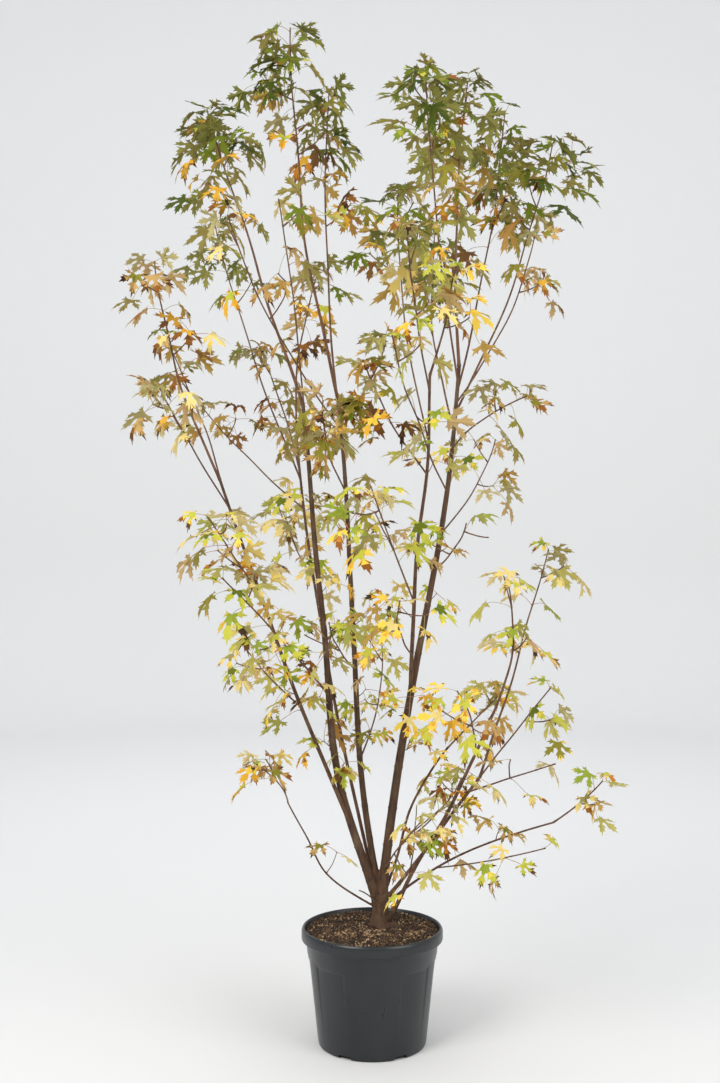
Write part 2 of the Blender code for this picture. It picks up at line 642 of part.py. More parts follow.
class Crown:
    """Grows the shoots one after another and keeps each in its own space."""

    def __init__(self, limbs):
        self.limbs = limbs
        self.sides = {stem.name: stem.sides for stem in STEMS}
        self.axes = {shoot.name: axis_of(shoot, limbs) for shoot in SHOOTS}
        self.samples = {
            name: [axis.point(0.2 + 0.8 * step / 12) for step in range(13)] for name, axis in self.axes.items()
        }
        self.wood = []
        for name, limb in limbs.items():
            self.wood.append((name, self._grown(limb, 8)))
        for name, axis in self.axes.items():
            self.wood.append((name, self._grown(axis, 4)))
        self.set_pieces = []
        self.dropped = 0

    @staticmethod
    def _grown(limb, sides):
        skin = tube(limb, 0.0, 1.0, sides, 0.0016)
        tree = tree_of(skin)
        skin.free()
        return tree

    def own_space(self, shoot, place):
        """Whether a place lies in this shoot's space: near its stem, and nearer than to another."""
        near = min((place - sample).length for sample in self.samples[shoot.name])
        if near > shoot.spread + 0.05:
            return False
        for name, samples in self.samples.items():
            if name != shoot.name and min((place - sample).length for sample in samples) < near - 0.03:
                return False
        return True

    def clear(self, tree, box, own, hosts):
        """Whether a piece touches no limb and no piece set before it."""
        for name, wood in self.wood:
            if name not in hosts and tree.overlap(wood):
                return False
        for key, other_box, other in self.set_pieces:
            if key in own:
                continue
            if any(box[0][axis] > other_box[1][axis] or box[1][axis] < other_box[0][axis] for axis in range(3)):
                continue
            if tree.overlap(other):
                return False
        return True

    @staticmethod
    def _box(skin):
        corners = [corner.co for corner in skin.verts]
        return (
            [min(corner[axis] for corner in corners) - 0.001 for axis in range(3)],
            [max(corner[axis] for corner in corners) + 0.001 for axis in range(3)],
        )

    def grow(self, shoot, finish):
        """One mass of foliage as a single closed solid."""
        axis = self.axes[shoot.name]
        parent = self.limbs[shoot.limb]
        sides = 5 if shoot.girth > 0.008 else 3
        pieces = []
        twigs, buds, on_twigs = twigs_and_buds(shoot, axis)
        kept_twigs = []
        for index, (share, side, length) in enumerate(twigs):
            for attempt in range(6):
                name = f"{shoot.name}_twig_{index}"
                twig = twig_axis(axis, name, share, side + 1.1 * attempt, length)
                skin = tube(twig, 0.0, 1.0, 3)
                free = tube(twig, 0.12, 1.0, 3, 0.001)
                tree, box = tree_of(free), self._box(free)
                free.free()
                if self.own_space(shoot, twig.tip) and self.clear(tree, box, (), (shoot.name,)):
                    pieces.append(object_of(name, skin))
                    self.set_pieces.append((name, box, tree))
                    kept_twigs.append(twig)
                    break
                skin.free()
        rule = seeded("leaves", shoot.name)
        for index in range(on_twigs):
            if not kept_twigs:
                break
            twig = kept_twigs[index % len(kept_twigs)]
            rank = index // len(kept_twigs)
            share = (0.97, 0.92, 0.62, 0.56, 0.32)[min(rank, 4)]
            side = rule.uniform(-0.4, 0.4) + (0.0, math.pi, math.pi / 2, -math.pi / 2, 0.9)[min(rank, 4)]
            buds.append(Bud(twig, share, side, rule.uniform(0.82, 1.08), rule.uniform(0.3, 1.0)))
        for index, bud in enumerate(buds):
            if index % FINE_EVERY == FINE_EVERY - 1:
                continue
            for attempt in range(TRIES):
                leaf = leaf_at(bud, shoot.blade, attempt, f"{shoot.name}_leaf_{index}")
                if not self.own_space(shoot, leaf.corner(0.6, 0.0)):
                    continue
                skin = leaf.skin()
                if skin is None:
                    continue
                tree, box = tree_of(skin), self._box(skin)
                if self.clear(tree, box, (bud.host.name,), (shoot.name,)):
                    name = f"{shoot.name}_leaf_{index}"
                    pieces.append(object_of(name, skin))
                    self.set_pieces.append((name, box, tree))
                    break
                skin.free()
            else:
                self.dropped += 1
        mass = object_of(shoot.name, tube(axis, 0.0, 1.0, sides), finish)
        cut(mass, object_of("clearance", tube(parent, 0.0, 1.0, self.sides[shoot.limb], CLEAR)))
        keep_largest(mass)
        fuse(mass, pieces)
        scraps = keep_largest(mass)
        if scraps:
            print(f"{shoot.name}: {scraps} loose scraps dropped")
        return mass


def build_trunk(limbs, bark):
    """The stool with the collars of the stems that rise from it."""
    trunk = object_of("trunk", stool_skin(), bark)
    collars = []
    for stem in STEMS:
        if stem.parent == "stool":
            limb = limbs[stem.name]
            share = stem.collar / limb.length()
            collars.append(object_of(f"{stem.name}_collar", tube(limb, 0.0, share, stem.sides)))
    fuse(trunk, collars)
    keep_largest(trunk)
    return trunk


def build_stems(limbs, bark):
    """Each stem as one tapering limb, clear of the stool or of the stem it leaves."""
    for stem in STEMS:
        limb = limbs[stem.name]
        first = (stem.collar + CLEAR) / limb.length() if stem.parent == "stool" else 0.0
        made = object_of(f"{stem.name}_stem", tube(limb, first, 1.0, stem.sides), bark)
        if stem.parent != "stool":
            parent = limbs[stem.parent]
            sides = next(other.sides for other in STEMS if other.name == stem.parent)
            cut(made, object_of("clearance", tube(parent, 0.0, 1.0, sides, CLEAR)))
            keep_largest(made)


def clear_scene():
    """Removes what a new file holds."""
    for thing in list(bpy.data.objects):
        bpy.data.objects.remove(thing)


def main():
    """Builds the pot, the soil, the trunk, the stems and the shoots."""
    clear_scene()
    bark = material("bark", BARK, ROUGH_BARK)
    build_pot()
    build_soil()
    limbs = limbs_of_stems()
    build_trunk(limbs, bark)
    build_stems(limbs, bark)
    foliage = {tone: material(f"leaves_{tone.name.lower()}", tone.value, 0.65) for tone in Tone}
    crown = Crown(limbs)
    for shoot in SHOOTS:
        crown.grow(shoot, foliage[shoot.tone])
    print(f"{len(crown.set_pieces)} twigs and leaves set, {crown.dropped} leaves skipped")


main()
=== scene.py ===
"""Looks of a young silver maple with several stems, standing in a round nursery pot.

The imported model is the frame. Stems, shoots, twigs and leaves grow here again by the source's
rule, from the same sizes and seeds, with smooth bark, finer twigs and lobed leaves. The pot and
the soil are modelled anew over their solids.
"""

from __future__ import annotations

import json
import logging
import math
import random
from dataclasses import dataclass, field, replace
from enum import Enum
from typing import Sequence

import bmesh
import bpy
from mathutils import Matrix, Vector, noise
from mathutils.bvhtree import BVHTree

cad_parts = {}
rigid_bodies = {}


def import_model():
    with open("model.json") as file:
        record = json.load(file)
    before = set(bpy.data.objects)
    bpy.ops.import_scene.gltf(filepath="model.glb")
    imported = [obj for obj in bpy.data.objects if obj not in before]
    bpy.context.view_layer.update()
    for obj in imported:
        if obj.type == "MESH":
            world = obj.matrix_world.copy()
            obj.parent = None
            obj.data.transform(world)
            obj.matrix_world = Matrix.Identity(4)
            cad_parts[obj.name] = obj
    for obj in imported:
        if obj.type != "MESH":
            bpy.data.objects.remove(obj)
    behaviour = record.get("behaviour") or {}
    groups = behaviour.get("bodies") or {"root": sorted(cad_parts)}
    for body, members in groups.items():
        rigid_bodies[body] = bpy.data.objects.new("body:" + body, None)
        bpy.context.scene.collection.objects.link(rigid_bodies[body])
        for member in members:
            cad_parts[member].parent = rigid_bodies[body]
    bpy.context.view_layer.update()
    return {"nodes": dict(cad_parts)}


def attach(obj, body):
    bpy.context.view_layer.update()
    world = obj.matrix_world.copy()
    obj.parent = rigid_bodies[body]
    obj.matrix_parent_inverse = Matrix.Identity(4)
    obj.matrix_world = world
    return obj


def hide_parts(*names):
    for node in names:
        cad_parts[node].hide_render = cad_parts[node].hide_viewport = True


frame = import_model()
log = logging.getLogger("silver_maple")

Triple = tuple[float, float, float]
Skin = tuple[int, int, Sequence[int]]
Finish = bpy.types.Material
Rule = random.Random
Socket = bpy.types.NodeSocket
Thing = bpy.types.Object
BODY = "root"
UP = Vector((0.0, 0.0, 1.0))
EVEN: Triple = (1.0, 1.0, 1.0)


def seeded(*words: object) -> Rule:
    """A random generator that depends only on the words given."""
    return Rule("-".join(str(word) for word in words))


def linear(red: int, green: int, blue: int) -> Triple:
    """A colour given in eight-bit display values, made linear."""
    return tuple(((v / 255 + 0.055) / 1.055) ** 2.4 if v > 10 else v / 3295 for v in (red, green, blue))


# ---------------------------------------------------------------- finishes


class Sheet:
    """The node tree of one new material, with short ways to add to it."""

    def __init__(self, name: str, roughness: float) -> None:
        """Starts a plain material.

        Args:
            name: Name of the material.
            roughness: Roughness all over, unless a pattern drives it later.
        """
        self.material = bpy.data.materials.new(name)
        self.material.use_nodes = True
        self.tree = self.material.node_tree
        self.shader = self.tree.nodes["Principled BSDF"]
        self.fill(self.shader, Roughness=roughness)

    def fill(self, node: bpy.types.Node, **inputs: object) -> None:
        """Sets inputs of a node.

        Args:
            node: The node.
            **inputs: For each input a value, or the socket that drives it.
        """
        for name, value in inputs.items():
            if isinstance(value, Socket):
                self.tree.links.new(value, node.inputs[name])
            else:
                node.inputs[name].default_value = value

    def node(self, kind: str, output: str, **inputs: object) -> Socket:
        """Adds a node.

        Args:
            kind: Blender's name of the node type, without its first part.
            output: Name of the output that is read.
            **inputs: For each input a value, or the socket that drives it.

        Returns:
            The output's socket.
        """
        made = self.tree.nodes.new(f"ShaderNode{kind}")
        if kind == "Mix":
            made.data_type = "RGBA"
        self.fill(made, **inputs)
        return made.outputs[output]

    def place(self, stretch: Triple) -> Socket:
        """The piece's own metres, stretched along X, Y and Z."""
        return self.node("Mapping", "Vector", Vector=self.node("TexCoord", "Object"), Scale=stretch)

    def grain(self, scale: float, stretch: Triple = EVEN, detail: float = 4.0, rough: float = 0.55) -> Socket:
        """Fractal noise: its cells per metre, stretch, octaves and the weight of the finer ones."""
        return self.node("TexNoise", "Fac", Vector=self.place(stretch), Scale=scale, Detail=detail, Roughness=rough)

    def cells(self, scale: float, stretch: Triple = EVEN) -> Socket:
        """Distance to the nearest of scattered points: their number per metre and stretch."""
        return self.node("TexVoronoi", "Distance", Vector=self.place(stretch), Scale=scale)

    def ramp(self, value: Socket, low: float, first: Triple, high: float, last: Triple) -> Socket:
        """Blends two colours along a value.

        Args:
            value: Socket that drives the blend.
            low: Value up to which the first colour holds.
            first: The first colour.
            high: Value from which the last colour holds.
            last: The last colour.

        Returns:
            The colour's socket.
        """
        made = self.node("ValToRGB", "Color", Fac=value)
        for element, position, colour in zip(made.node.color_ramp.elements, (low, high), (first, last)):
            element.position = position
            element.color = (*colour, 1.0)
        return made

    def paint(self, colour: Triple | Socket) -> None:
        """Gives the shader one base colour all over, or a pattern's."""
        self.fill(self.shader, **{"Base Color": (*colour, 1.0) if isinstance(colour, tuple) else colour})

    def relief(self, height: Socket, strength: float, depth: float) -> None:
        """Adds a bump over whatever bump is already there.

        Args:
            height: Socket of the height pattern.
            strength: Weight of the bump.
            depth: Height in metres that the pattern's full range stands for.
        """
        normal = self.shader.inputs["Normal"]
        below = {"Normal": link.from_socket for link in normal.links}
        bump = self.node("Bump", "Normal", Strength=strength, Distance=depth, Height=height, **below)
        self.tree.links.new(bump, normal)


@dataclass(frozen=True)
class BarkFinish:
    """Young bark: streaks along the stem, grey patches and pale breathing spots."""

    name: str
    dark: Triple
    light: Triple
    bloom: Triple
    relief: float = 0.0009

    def material(self) -> Finish:
        """Makes the finish.

        Returns:
            The new material.
        """
        sheet = Sheet(self.name, 0.78)
        streaks = sheet.ramp(sheet.grain(95.0, (1.0, 1.0, 0.16)), 0.30, self.dark, 0.68, self.light)
        bloom = sheet.ramp(sheet.grain(16.0, (1.0, 1.0, 0.7)), 0.50, (0.0,) * 3, 0.74, (0.75,) * 3)
        grey = sheet.ramp(sheet.grain(60.0), 0.3, self.bloom, 0.8, self.light)
        spots = sheet.ramp(sheet.cells(150.0, (1.0, 1.0, 1.7)), 0.10, (0.8,) * 3, 0.16, (0.0,) * 3)
        patched = sheet.node("Mix", "Result", Factor=bloom, A=streaks, B=grey)
        sheet.paint(sheet.node("Mix", "Result", Factor=spots, A=patched, B=(*self.bloom, 1.0)))
        sheet.relief(sheet.grain(170.0, (1.0, 1.0, 0.14)), 0.8, self.relief * 1.6)
        sheet.relief(sheet.cells(150.0, (1.0, 1.0, 1.7)), 0.3, self.relief)
        return sheet.material


@dataclass(frozen=True)
class MouldedFinish:
    """Satin moulded plastic with a breath of dust."""

    name: str
    dark: Triple
    light: Triple

    def material(self) -> Finish:
        """Makes the finish.

        Returns:
            The new material.
        """
        sheet = Sheet(self.name, 0.34)
        sheet.paint(sheet.ramp(sheet.grain(5.0, (1.0, 1.0, 0.35)), 0.35, self.dark, 0.75, self.light))
        shine = sheet.ramp(sheet.grain(34.0, (1.0, 1.0, 0.25)), 0.3, (0.27,) * 3, 0.75, (0.35,) * 3)
        sheet.fill(sheet.shader, Roughness=shine)
        return sheet.material


@dataclass(frozen=True)
class SoilFinish:
    """Damp peat or a crumb of bark: rough, with broken dark and light grains."""

    name: str
    dark: Triple
    light: Triple
    scale: float = 260.0

    def material(self) -> Finish:
        """Makes the finish.

        Returns:
            The new material.
        """
        sheet = Sheet(self.name, 0.93)
        grains = sheet.grain(self.scale, detail=6.0, rough=0.7)
        sheet.paint(sheet.ramp(grains, 0.36, self.dark, 0.66, self.light))
        sheet.relief(sheet.grain(self.scale * 1.6, detail=5.0, rough=0.7), 0.8, 0.002)
        return sheet.material


@dataclass(frozen=True)
class LeafFinish:
    """One plain tint of a leaf face, with fine blistered relief."""

    name: str
    colour: Triple
    roughness: float = 0.55

    def material(self) -> Finish:
        """Makes the finish.

        Returns:
            The new material.
        """
        sheet = Sheet(self.name, self.roughness)
        sheet.paint(self.colour)
        sheet.fill(sheet.shader, **{"Specular IOR Level": 0.18})
        sheet.relief(sheet.grain(420.0, detail=3.0), 0.35, 0.0012)
        return sheet.material


class Tint(Enum):
    """Colours that the leaves take, in eight-bit display values: upper face, then under face."""

    DEEP = (68, 80, 16), (120, 122, 60)
    GREEN = (100, 112, 22), (146, 142, 74)
    OLIVE = (136, 128, 42), (166, 152, 84)
    SILVER = (160, 150, 88), (178, 166, 112)
    BRIGHT = (146, 160, 50), (176, 174, 88)
    LIME = (190, 188, 66), (200, 190, 104)
    PALE = (228, 206, 128), (222, 204, 144)
    YELLOW = (238, 204, 78), (224, 198, 112)
    GOLD = (220, 168, 50), (206, 168, 88)
    OCHRE = (180, 136, 38), (178, 146, 72)
    ORANGE = (194, 128, 34), (184, 140, 72)
    RUST = (140, 86, 24), (150, 106, 56)
    TAN = (190, 154, 92), (200, 170, 116)
    BROWN = (94, 60, 24), (120, 86, 48)
    SCORCH = (60, 38, 18), (84, 58, 34)

    def slot(self, under: bool = False) -> int:
        """Material slot of its upper or under face."""
        return list(Tint).index(self) + under * len(Tint)

    def finish(self, under: bool = False) -> Finish:
        """Finish of its upper or under face."""
        name = f"leaf_{'under_' * under}{self.name.lower()}"
        return LeafFinish(name, linear(*self.value[under]), 0.7 if under else 0.55).material()


class Tone(Enum):
    """Mix of tints on a shoot: at its tip, half way and on its oldest leaves."""

    GREEN = ("DEEP DEEP GREEN GREEN OLIVE GREEN GREEN BRIGHT", "GREEN GREEN OLIVE SILVER OLIVE BRIGHT DEEP OCHRE",
             "OCHRE ORANGE RUST BROWN GOLD GOLD OCHRE GREEN RUST ORANGE")
    FRESH = ("BRIGHT LIME LIME PALE SILVER", "LIME YELLOW PALE LIME BRIGHT TAN", "YELLOW GOLD LIME PALE LIME TAN")
    TURNING = ("LIME PALE BRIGHT LIME OLIVE SILVER", "PALE YELLOW TAN LIME GOLD LIME SILVER",
               "YELLOW GOLD YELLOW PALE ORANGE TAN LIME GOLD")
    GOLD = ("GOLD PALE OLIVE YELLOW LIME", "YELLOW GOLD PALE LIME TAN YELLOW", "YELLOW GOLD YELLOW PALE TAN BROWN")
    AMBER = ("OLIVE GREEN TAN SILVER SILVER", "ORANGE OCHRE OLIVE TAN GOLD TAN OCHRE",
             "RUST ORANGE BROWN GOLD RUST TAN OCHRE BROWN")
    TAN = ("SILVER TAN OLIVE SILVER TAN", "TAN SILVER TAN OLIVE PALE OCHRE", "TAN RUST ORANGE PALE TAN OCHRE")

    def tint(self, age: float, rule: Rule) -> Tint:
        """Deals out the tint of one leaf.

        Args:
            age: 0 at the growing tip, 1 at the lowest leaf.
            rule: Random generator.

        Returns:
            The tint.
        """
        rank = max(0, min(2, int((age + rule.gauss(0.0, 0.12)) * 3.0)))
        return Tint[rule.choice(self.value[rank].split())]


def kin(words: str) -> dict[Tint, tuple[Tint, ...]]:
    """Tints that go with a tint.

    Args:
        words: For each tint its name and theirs, parted by commas.

    Returns:
        The tints that go with each.
    """
    rows = [[Tint[word] for word in row.split()] for row in words.split(", ")]
    return {first: tuple(others) for first, *others in rows}


# ---------------------------------------------------------------- making


def deselect() -> None:
    """Leaves edit mode and clears the selection."""
    if bpy.context.object and bpy.context.object.mode != "OBJECT":
        bpy.ops.object.mode_set(mode="OBJECT")
    bpy.ops.object.select_all(action="DESELECT")


def pick(*things: Thing) -> None:
    """Selects objects and makes the first one active."""
    deselect()
    for thing in things:
        thing.select_set(True)
    bpy.context.view_layer.objects.active = things[0]


def apply_modifier(thing: Thing, kind: str, **values: object) -> None:
    """Adds a modifier to an object and applies it.

    Args:
        thing: The object.
        kind: Blender's name of the modifier type.
        **values: Properties to set on the modifier.
    """
    pick(thing)
    modifier = thing.modifiers.new(kind.title(), kind)
    for key, value in values.items():
        setattr(modifier, key, value)
    bpy.ops.object.modifier_apply(modifier=modifier.name)


def ring_up(radius: float, height: float) -> None:
    """Extrudes the selected round face or rim of the edited mesh to a new radius and height.

    Args:
        radius: New radius about the Z axis.
        height: New height.
    """
    made = bmesh.from_edit_mesh(bpy.context.object.data)
    now = next(corner.co for corner in made.verts if corner.select)
    scale, rise = radius / math.hypot(now.x, now.y), height - now.z
    bpy.ops.mesh.extrude_region_move(TRANSFORM_OT_translate={"value": (0.0, 0.0, rise)})
    bpy.ops.transform.resize(value=(scale, scale, 1.0), center_override=(0.0, 0.0, height))


def disc(name: str, radius: float, sides: int) -> Thing:
    """A flat round face about the origin, left in edit mode.

    Args:
        name: Name of the object.
        radius: Its radius.
        sides: Its corners.

    Returns:
        The new object.
    """
    deselect()
    bpy.ops.mesh.primitive_circle_add(vertices=sides, radius=radius, fill_type="NGON", location=(0.0, 0.0, 0.0))
    made = bpy.context.object
    made.name = made.data.name = name
    bpy.ops.object.mode_set(mode="EDIT")
    return made


def finish_shell(inside: bool = False) -> None:
    """Turns all faces of the edited mesh one way and leaves edit mode.

    Args:
        inside: Whether they turn inwards instead of outwards.
    """
    bpy.ops.mesh.select_all(action="SELECT")
    bpy.ops.mesh.normals_make_consistent(inside=inside)
    bpy.ops.object.mode_set(mode="OBJECT")


def turned(name: str, profile: Sequence[tuple[float, float]], sides: int) -> Thing:
    """A solid turned about Z, extruded ring by ring from a disc.

    Args:
        name: Name of the object.
        profile: Radius and height of each ring, from the disc's edge to the last face.
        sides: Corners of each ring.

    Returns:
        The new object.
    """
    made = disc(name, profile[0][0], sides)
    bpy.ops.transform.translate(value=(0.0, 0.0, profile[0][1]))
    for radius, height in profile[1:]:
        ring_up(radius, height)
    finish_shell()
    return made


def piece(thing: Thing, nodes: Sequence[str], finishes: Sequence[Finish] = (),
          smooth: float | None = None) -> Thing:
    """Hands a finished mesh to the frame.

    Args:
        thing: The object.
        nodes: CAD nodes that it stands for.
        finishes: Materials, in the order of the mesh's slots.
        smooth: Largest angle in degrees that is shaded smooth, or None to leave the shading.

    Returns:
        The same object.
    """
    slots = thing.data.materials
    for index, finish in enumerate(finishes):
        if index < len(slots):
            slots[index] = finish
        else:
            slots.append(finish)
    if smooth is not None:
        pick(thing)
        bpy.ops.object.shade_smooth_by_angle(angle=math.radians(smooth))
    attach(thing, BODY)
    if nodes:
        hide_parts(*nodes)
    log.info("%s: %d faces for %s", thing.name, len(thing.data.polygons), ", ".join(nodes) or "nothing")
    return thing


@dataclass
class Heap:
    """Corners and faces of many small things that become one mesh."""

    corners: list[Vector] = field(default_factory=list)
    faces: list[tuple[int, ...]] = field(default_factory=list)
    finish: list[int] = field(default_factory=list)

    def add(self, corners: Sequence[Vector], faces: Sequence[Sequence[int]], finish: Sequence[int] | int = 0) -> None:
        """Adds one small thing.

        Args:
            corners: Its corners.
            faces: Its faces, as places in the corners.
            finish: Material slot of all faces, or of each.
        """
        base = len(self.corners)
        self.corners.extend(corners)
        self.faces.extend(tuple(base + corner for corner in face) for face in faces)
        self.finish.extend([finish] * len(faces) if isinstance(finish, int) else finish)

    def tube(self, places: Sequence[Vector], radii: Sequence[float], sides: int, finish: int = 0) -> None:
        """Adds a tapering tube with closed ends.

        Args:
            places: Its axis, point by point.
            radii: Its radius at each point.
            sides: Corners of each ring.
            finish: Material slot.
        """
        corners: list[Vector] = []
        heading = (places[1] - places[0]).normalized()
        side = heading.orthogonal().normalized()
        for index, (place, radius) in enumerate(zip(places, radii)):
            ahead, behind = places[min(index + 1, len(places) - 1)], places[max(index - 1, 0)]
            heading = (ahead - behind).normalized()
            side = (side - heading * side.dot(heading)).normalized()
            other = heading.cross(side)
            corners += [place + (side * math.cos(turn) + other * math.sin(turn)) * radius
                        for turn in (math.tau * corner / sides for corner in range(sides))]
        faces: list[Sequence[int]] = [
            (ring + corner, ring + (corner + 1) % sides, ring + sides + (corner + 1) % sides, ring + sides + corner)
            for ring in range(0, len(corners) - sides, sides) for corner in range(sides)]
        faces += [tuple(reversed(range(sides))), tuple(range(len(corners) - sides, len(corners)))]
        self.add(corners, faces, finish)

    def branch(self, limb: Limb, sides: int, step: float, joints: Sequence[float]) -> None:
        """Adds a limb as a smooth tube with a collar at its foot and swellings at its joints.

        Args:
            limb: The limb.
            sides: Corners of each ring.
            step: Length of its pieces.
            joints: Shares of the length where leaves or twigs leave it.
        """
        long = limb.length()
        count = max(3, round(long / step))
        near, reach, collar_reach, swelling, thicker = 0.004 / long, 0.0035, 0.010, 0.22, 0.35
        shares = [index / count for index in range(count + 1)]
        shares += [part for joint in joints for part in (max(0.0, joint - near), min(1.0, joint + near))]
        shares = sorted(set(round(share, 4) for share in shares))
        radii = []
        for share in shares:
            swell = sum(math.exp(-(((share - joint) * long / reach) ** 2)) for joint in joints)
            collar = thicker * math.exp(-share * long / collar_reach)
            radii.append(limb.radius(share) * (1.0 + collar + swelling * min(1.0, swell)))
        self.tube([limb.curve(share) for share in shares], radii, sides)

    def object(self, name: str) -> Thing:
        """The heap as one object in the scene.

        Args:
            name: Name of the object.

        Returns:
            The new object.
        """
        mesh = bpy.data.meshes.new(name)
        mesh.from_pydata([tuple(corner) for corner in self.corners], [], self.faces)
        for _ in range(max(self.finish, default=0) + 1):
            mesh.materials.append(None)
        mesh.polygons.foreach_set("material_index", self.finish)
        mesh.update()
        made = bpy.data.objects.new(name, mesh)
        bpy.context.scene.collection.objects.link(made)
        return made


# ---------------------------------------------------------------- the plant's rule


@dataclass(frozen=True)
class Limb:
    """One tapering stem, branch or shoot axis, bent as in the source."""

    name: str
    foot: Vector
    tip: Vector
    bow: Vector
    sway: float
    foot_radius: float
    tip_radius: float
    step: float = 0.15

    def point(self, share: float) -> Vector:
        """Place on the straight pieces that the solids are built from.

        Args:
            share: Share of the length.

        Returns:
            The place.
        """
        count = max(1, round((self.tip - self.foot).length / self.step))
        index = min(int(share * count), count - 1)
        return self.curve(index / count).lerp(self.curve((index + 1) / count), share * count - index)

    def curve(self, share: float) -> Vector:
        """Place on the smooth axis.

        Args:
            share: Share of the length.

        Returns:
            The place.
        """
        wave = seeded("wander", self.name)
        turn, phase = wave.uniform(0, math.tau), wave.uniform(0, math.tau)
        amount = 0.006 * (self.tip - self.foot).length * math.sin(math.pi * min(share, 1.0))
        ripple = amount * math.sin(11.0 * share + phase)
        return (self.foot.lerp(self.tip, share) + self.bow * (4.0 * share * (1.0 - share))
                + Vector((self.sway * math.sin(math.tau * share), 0.0, 0.0))
                + Vector((math.cos(turn), math.sin(turn), 0.0)) * ripple)

    def radius(self, share: float) -> float:
        """Radius at a share of the length."""
        return self.foot_radius + (self.tip_radius - self.foot_radius) * share**0.85

    def heading(self, share: float) -> Vector:
        """Direction of growth at a share of the length."""
        return (self.point(min(share + 0.01, 1.0)) - self.point(max(share - 0.01, 0.0))).normalized()

    def length(self) -> float:
        """Length along the axis."""
        points = [self.point(step / 24) for step in range(25)]
        return sum((b - a).length for a, b in zip(points, points[1:]))

    def leaving(self, parent: Limb, share: float) -> Limb:
        """The same limb with its foot on the smooth axis of its parent."""
        return replace(self, foot=parent.curve(share))


@dataclass(frozen=True)
class Stem:
    """Sizes of a stem: where it starts and ends, how it bends, and its girth at both ends."""

    name: str
    parent: str
    start: tuple[float, ...]
    tip: Triple
    bow: tuple[float, float]
    sway: float
    girth: tuple[float, float]
    collar: float = 0.0


STEMS = (
    Stem("left", "stool", (0.018, 0, 0.48), (-0.24, -0.02, 2.185), (-0.057, -0.02), -0.022, (0.031, 0.013), 0.11),
    Stem("middle", "stool", (0.027, 0, 0.48), (-0.12, 0.1, 2.22), (-0.019, 0.02), -0.014, (0.024, 0.013), 0.11),
    Stem("right", "stool", (0.031, 0, 0.475), (0.31, 0.06, 2.335), (0.01, 0.02), -0.015, (0.035, 0.013), 0.1),
    Stem("back", "stool", (0.02, 0.016, 0.475), (-0.275, 0.3, 2.065), (-0.031, 0.045), 0.002, (0.013, 0.009), 0.105),
    Stem("behind_right", "stool", (0.036, 0.01, 0.47), (0.277, 0.25, 0.96), (-0.029, 0.035), 0.009,
         (0.01, 0.0075), 0.085),
    Stem("pair_left", "stool", (0.06, -0.018, 0.415), (0.383, -0.22, 1.117), (0.006, -0.01), -0.007,
         (0.015, 0.01), 0.04),
    Stem("pair_right", "stool", (0.041, 0, 0.472), (0.367, -0.05, 0.905), (0.008, 0.015), 0.002, (0.014, 0.01), 0.045),
    Stem("lowest_right", "stool", (0.041, 0.006, 0.452), (0.614, -0.06, 0.753), (-0.07, 0.045), 0.006,
         (0.009, 0.006), 0.06),
    Stem("lowest_left", "stool", (0.018, -0.006, 0.452), (-0.28, -0.16, 0.837), (-0.061, 0), -0.019,
         (0.007, 0.0045), 0.05),
    Stem("outer_left", "left", (0.14,), (-0.508, -0.18, 1.908), (-0.012, -0.04), -0.002, (0.015, 0.0095)),
    Stem("front_right", "right", (0.38,), (0.186, -0.28, 2.242), (-0.004, -0.05), -0.008, (0.015, 0.009)),
)


@dataclass(frozen=True)
class Shoot:
    """Sizes of one mass of foliage: its stem, and the leaves that the rule sets on it.

    Fuller is the share of extra leaves, or -1 for the tone's own share, and full_to how far down
    they stand. Thinner is the share of leaves left out, and none stand below open_below. Older
    hastens the autumn tints.
    """

    name: str
    limb: str
    share: float
    tip: Triple
    bow: float
    leaves: int
    bare: float
    blade: float
    tone: Tone
    spread: float = 0.2
    girth: float = 0.0062
    fuller: float = -1.0
    full_to: float = 0.55
    thinner: float = 0.0
    open_below: float = 2.0
    older: float = 1.0


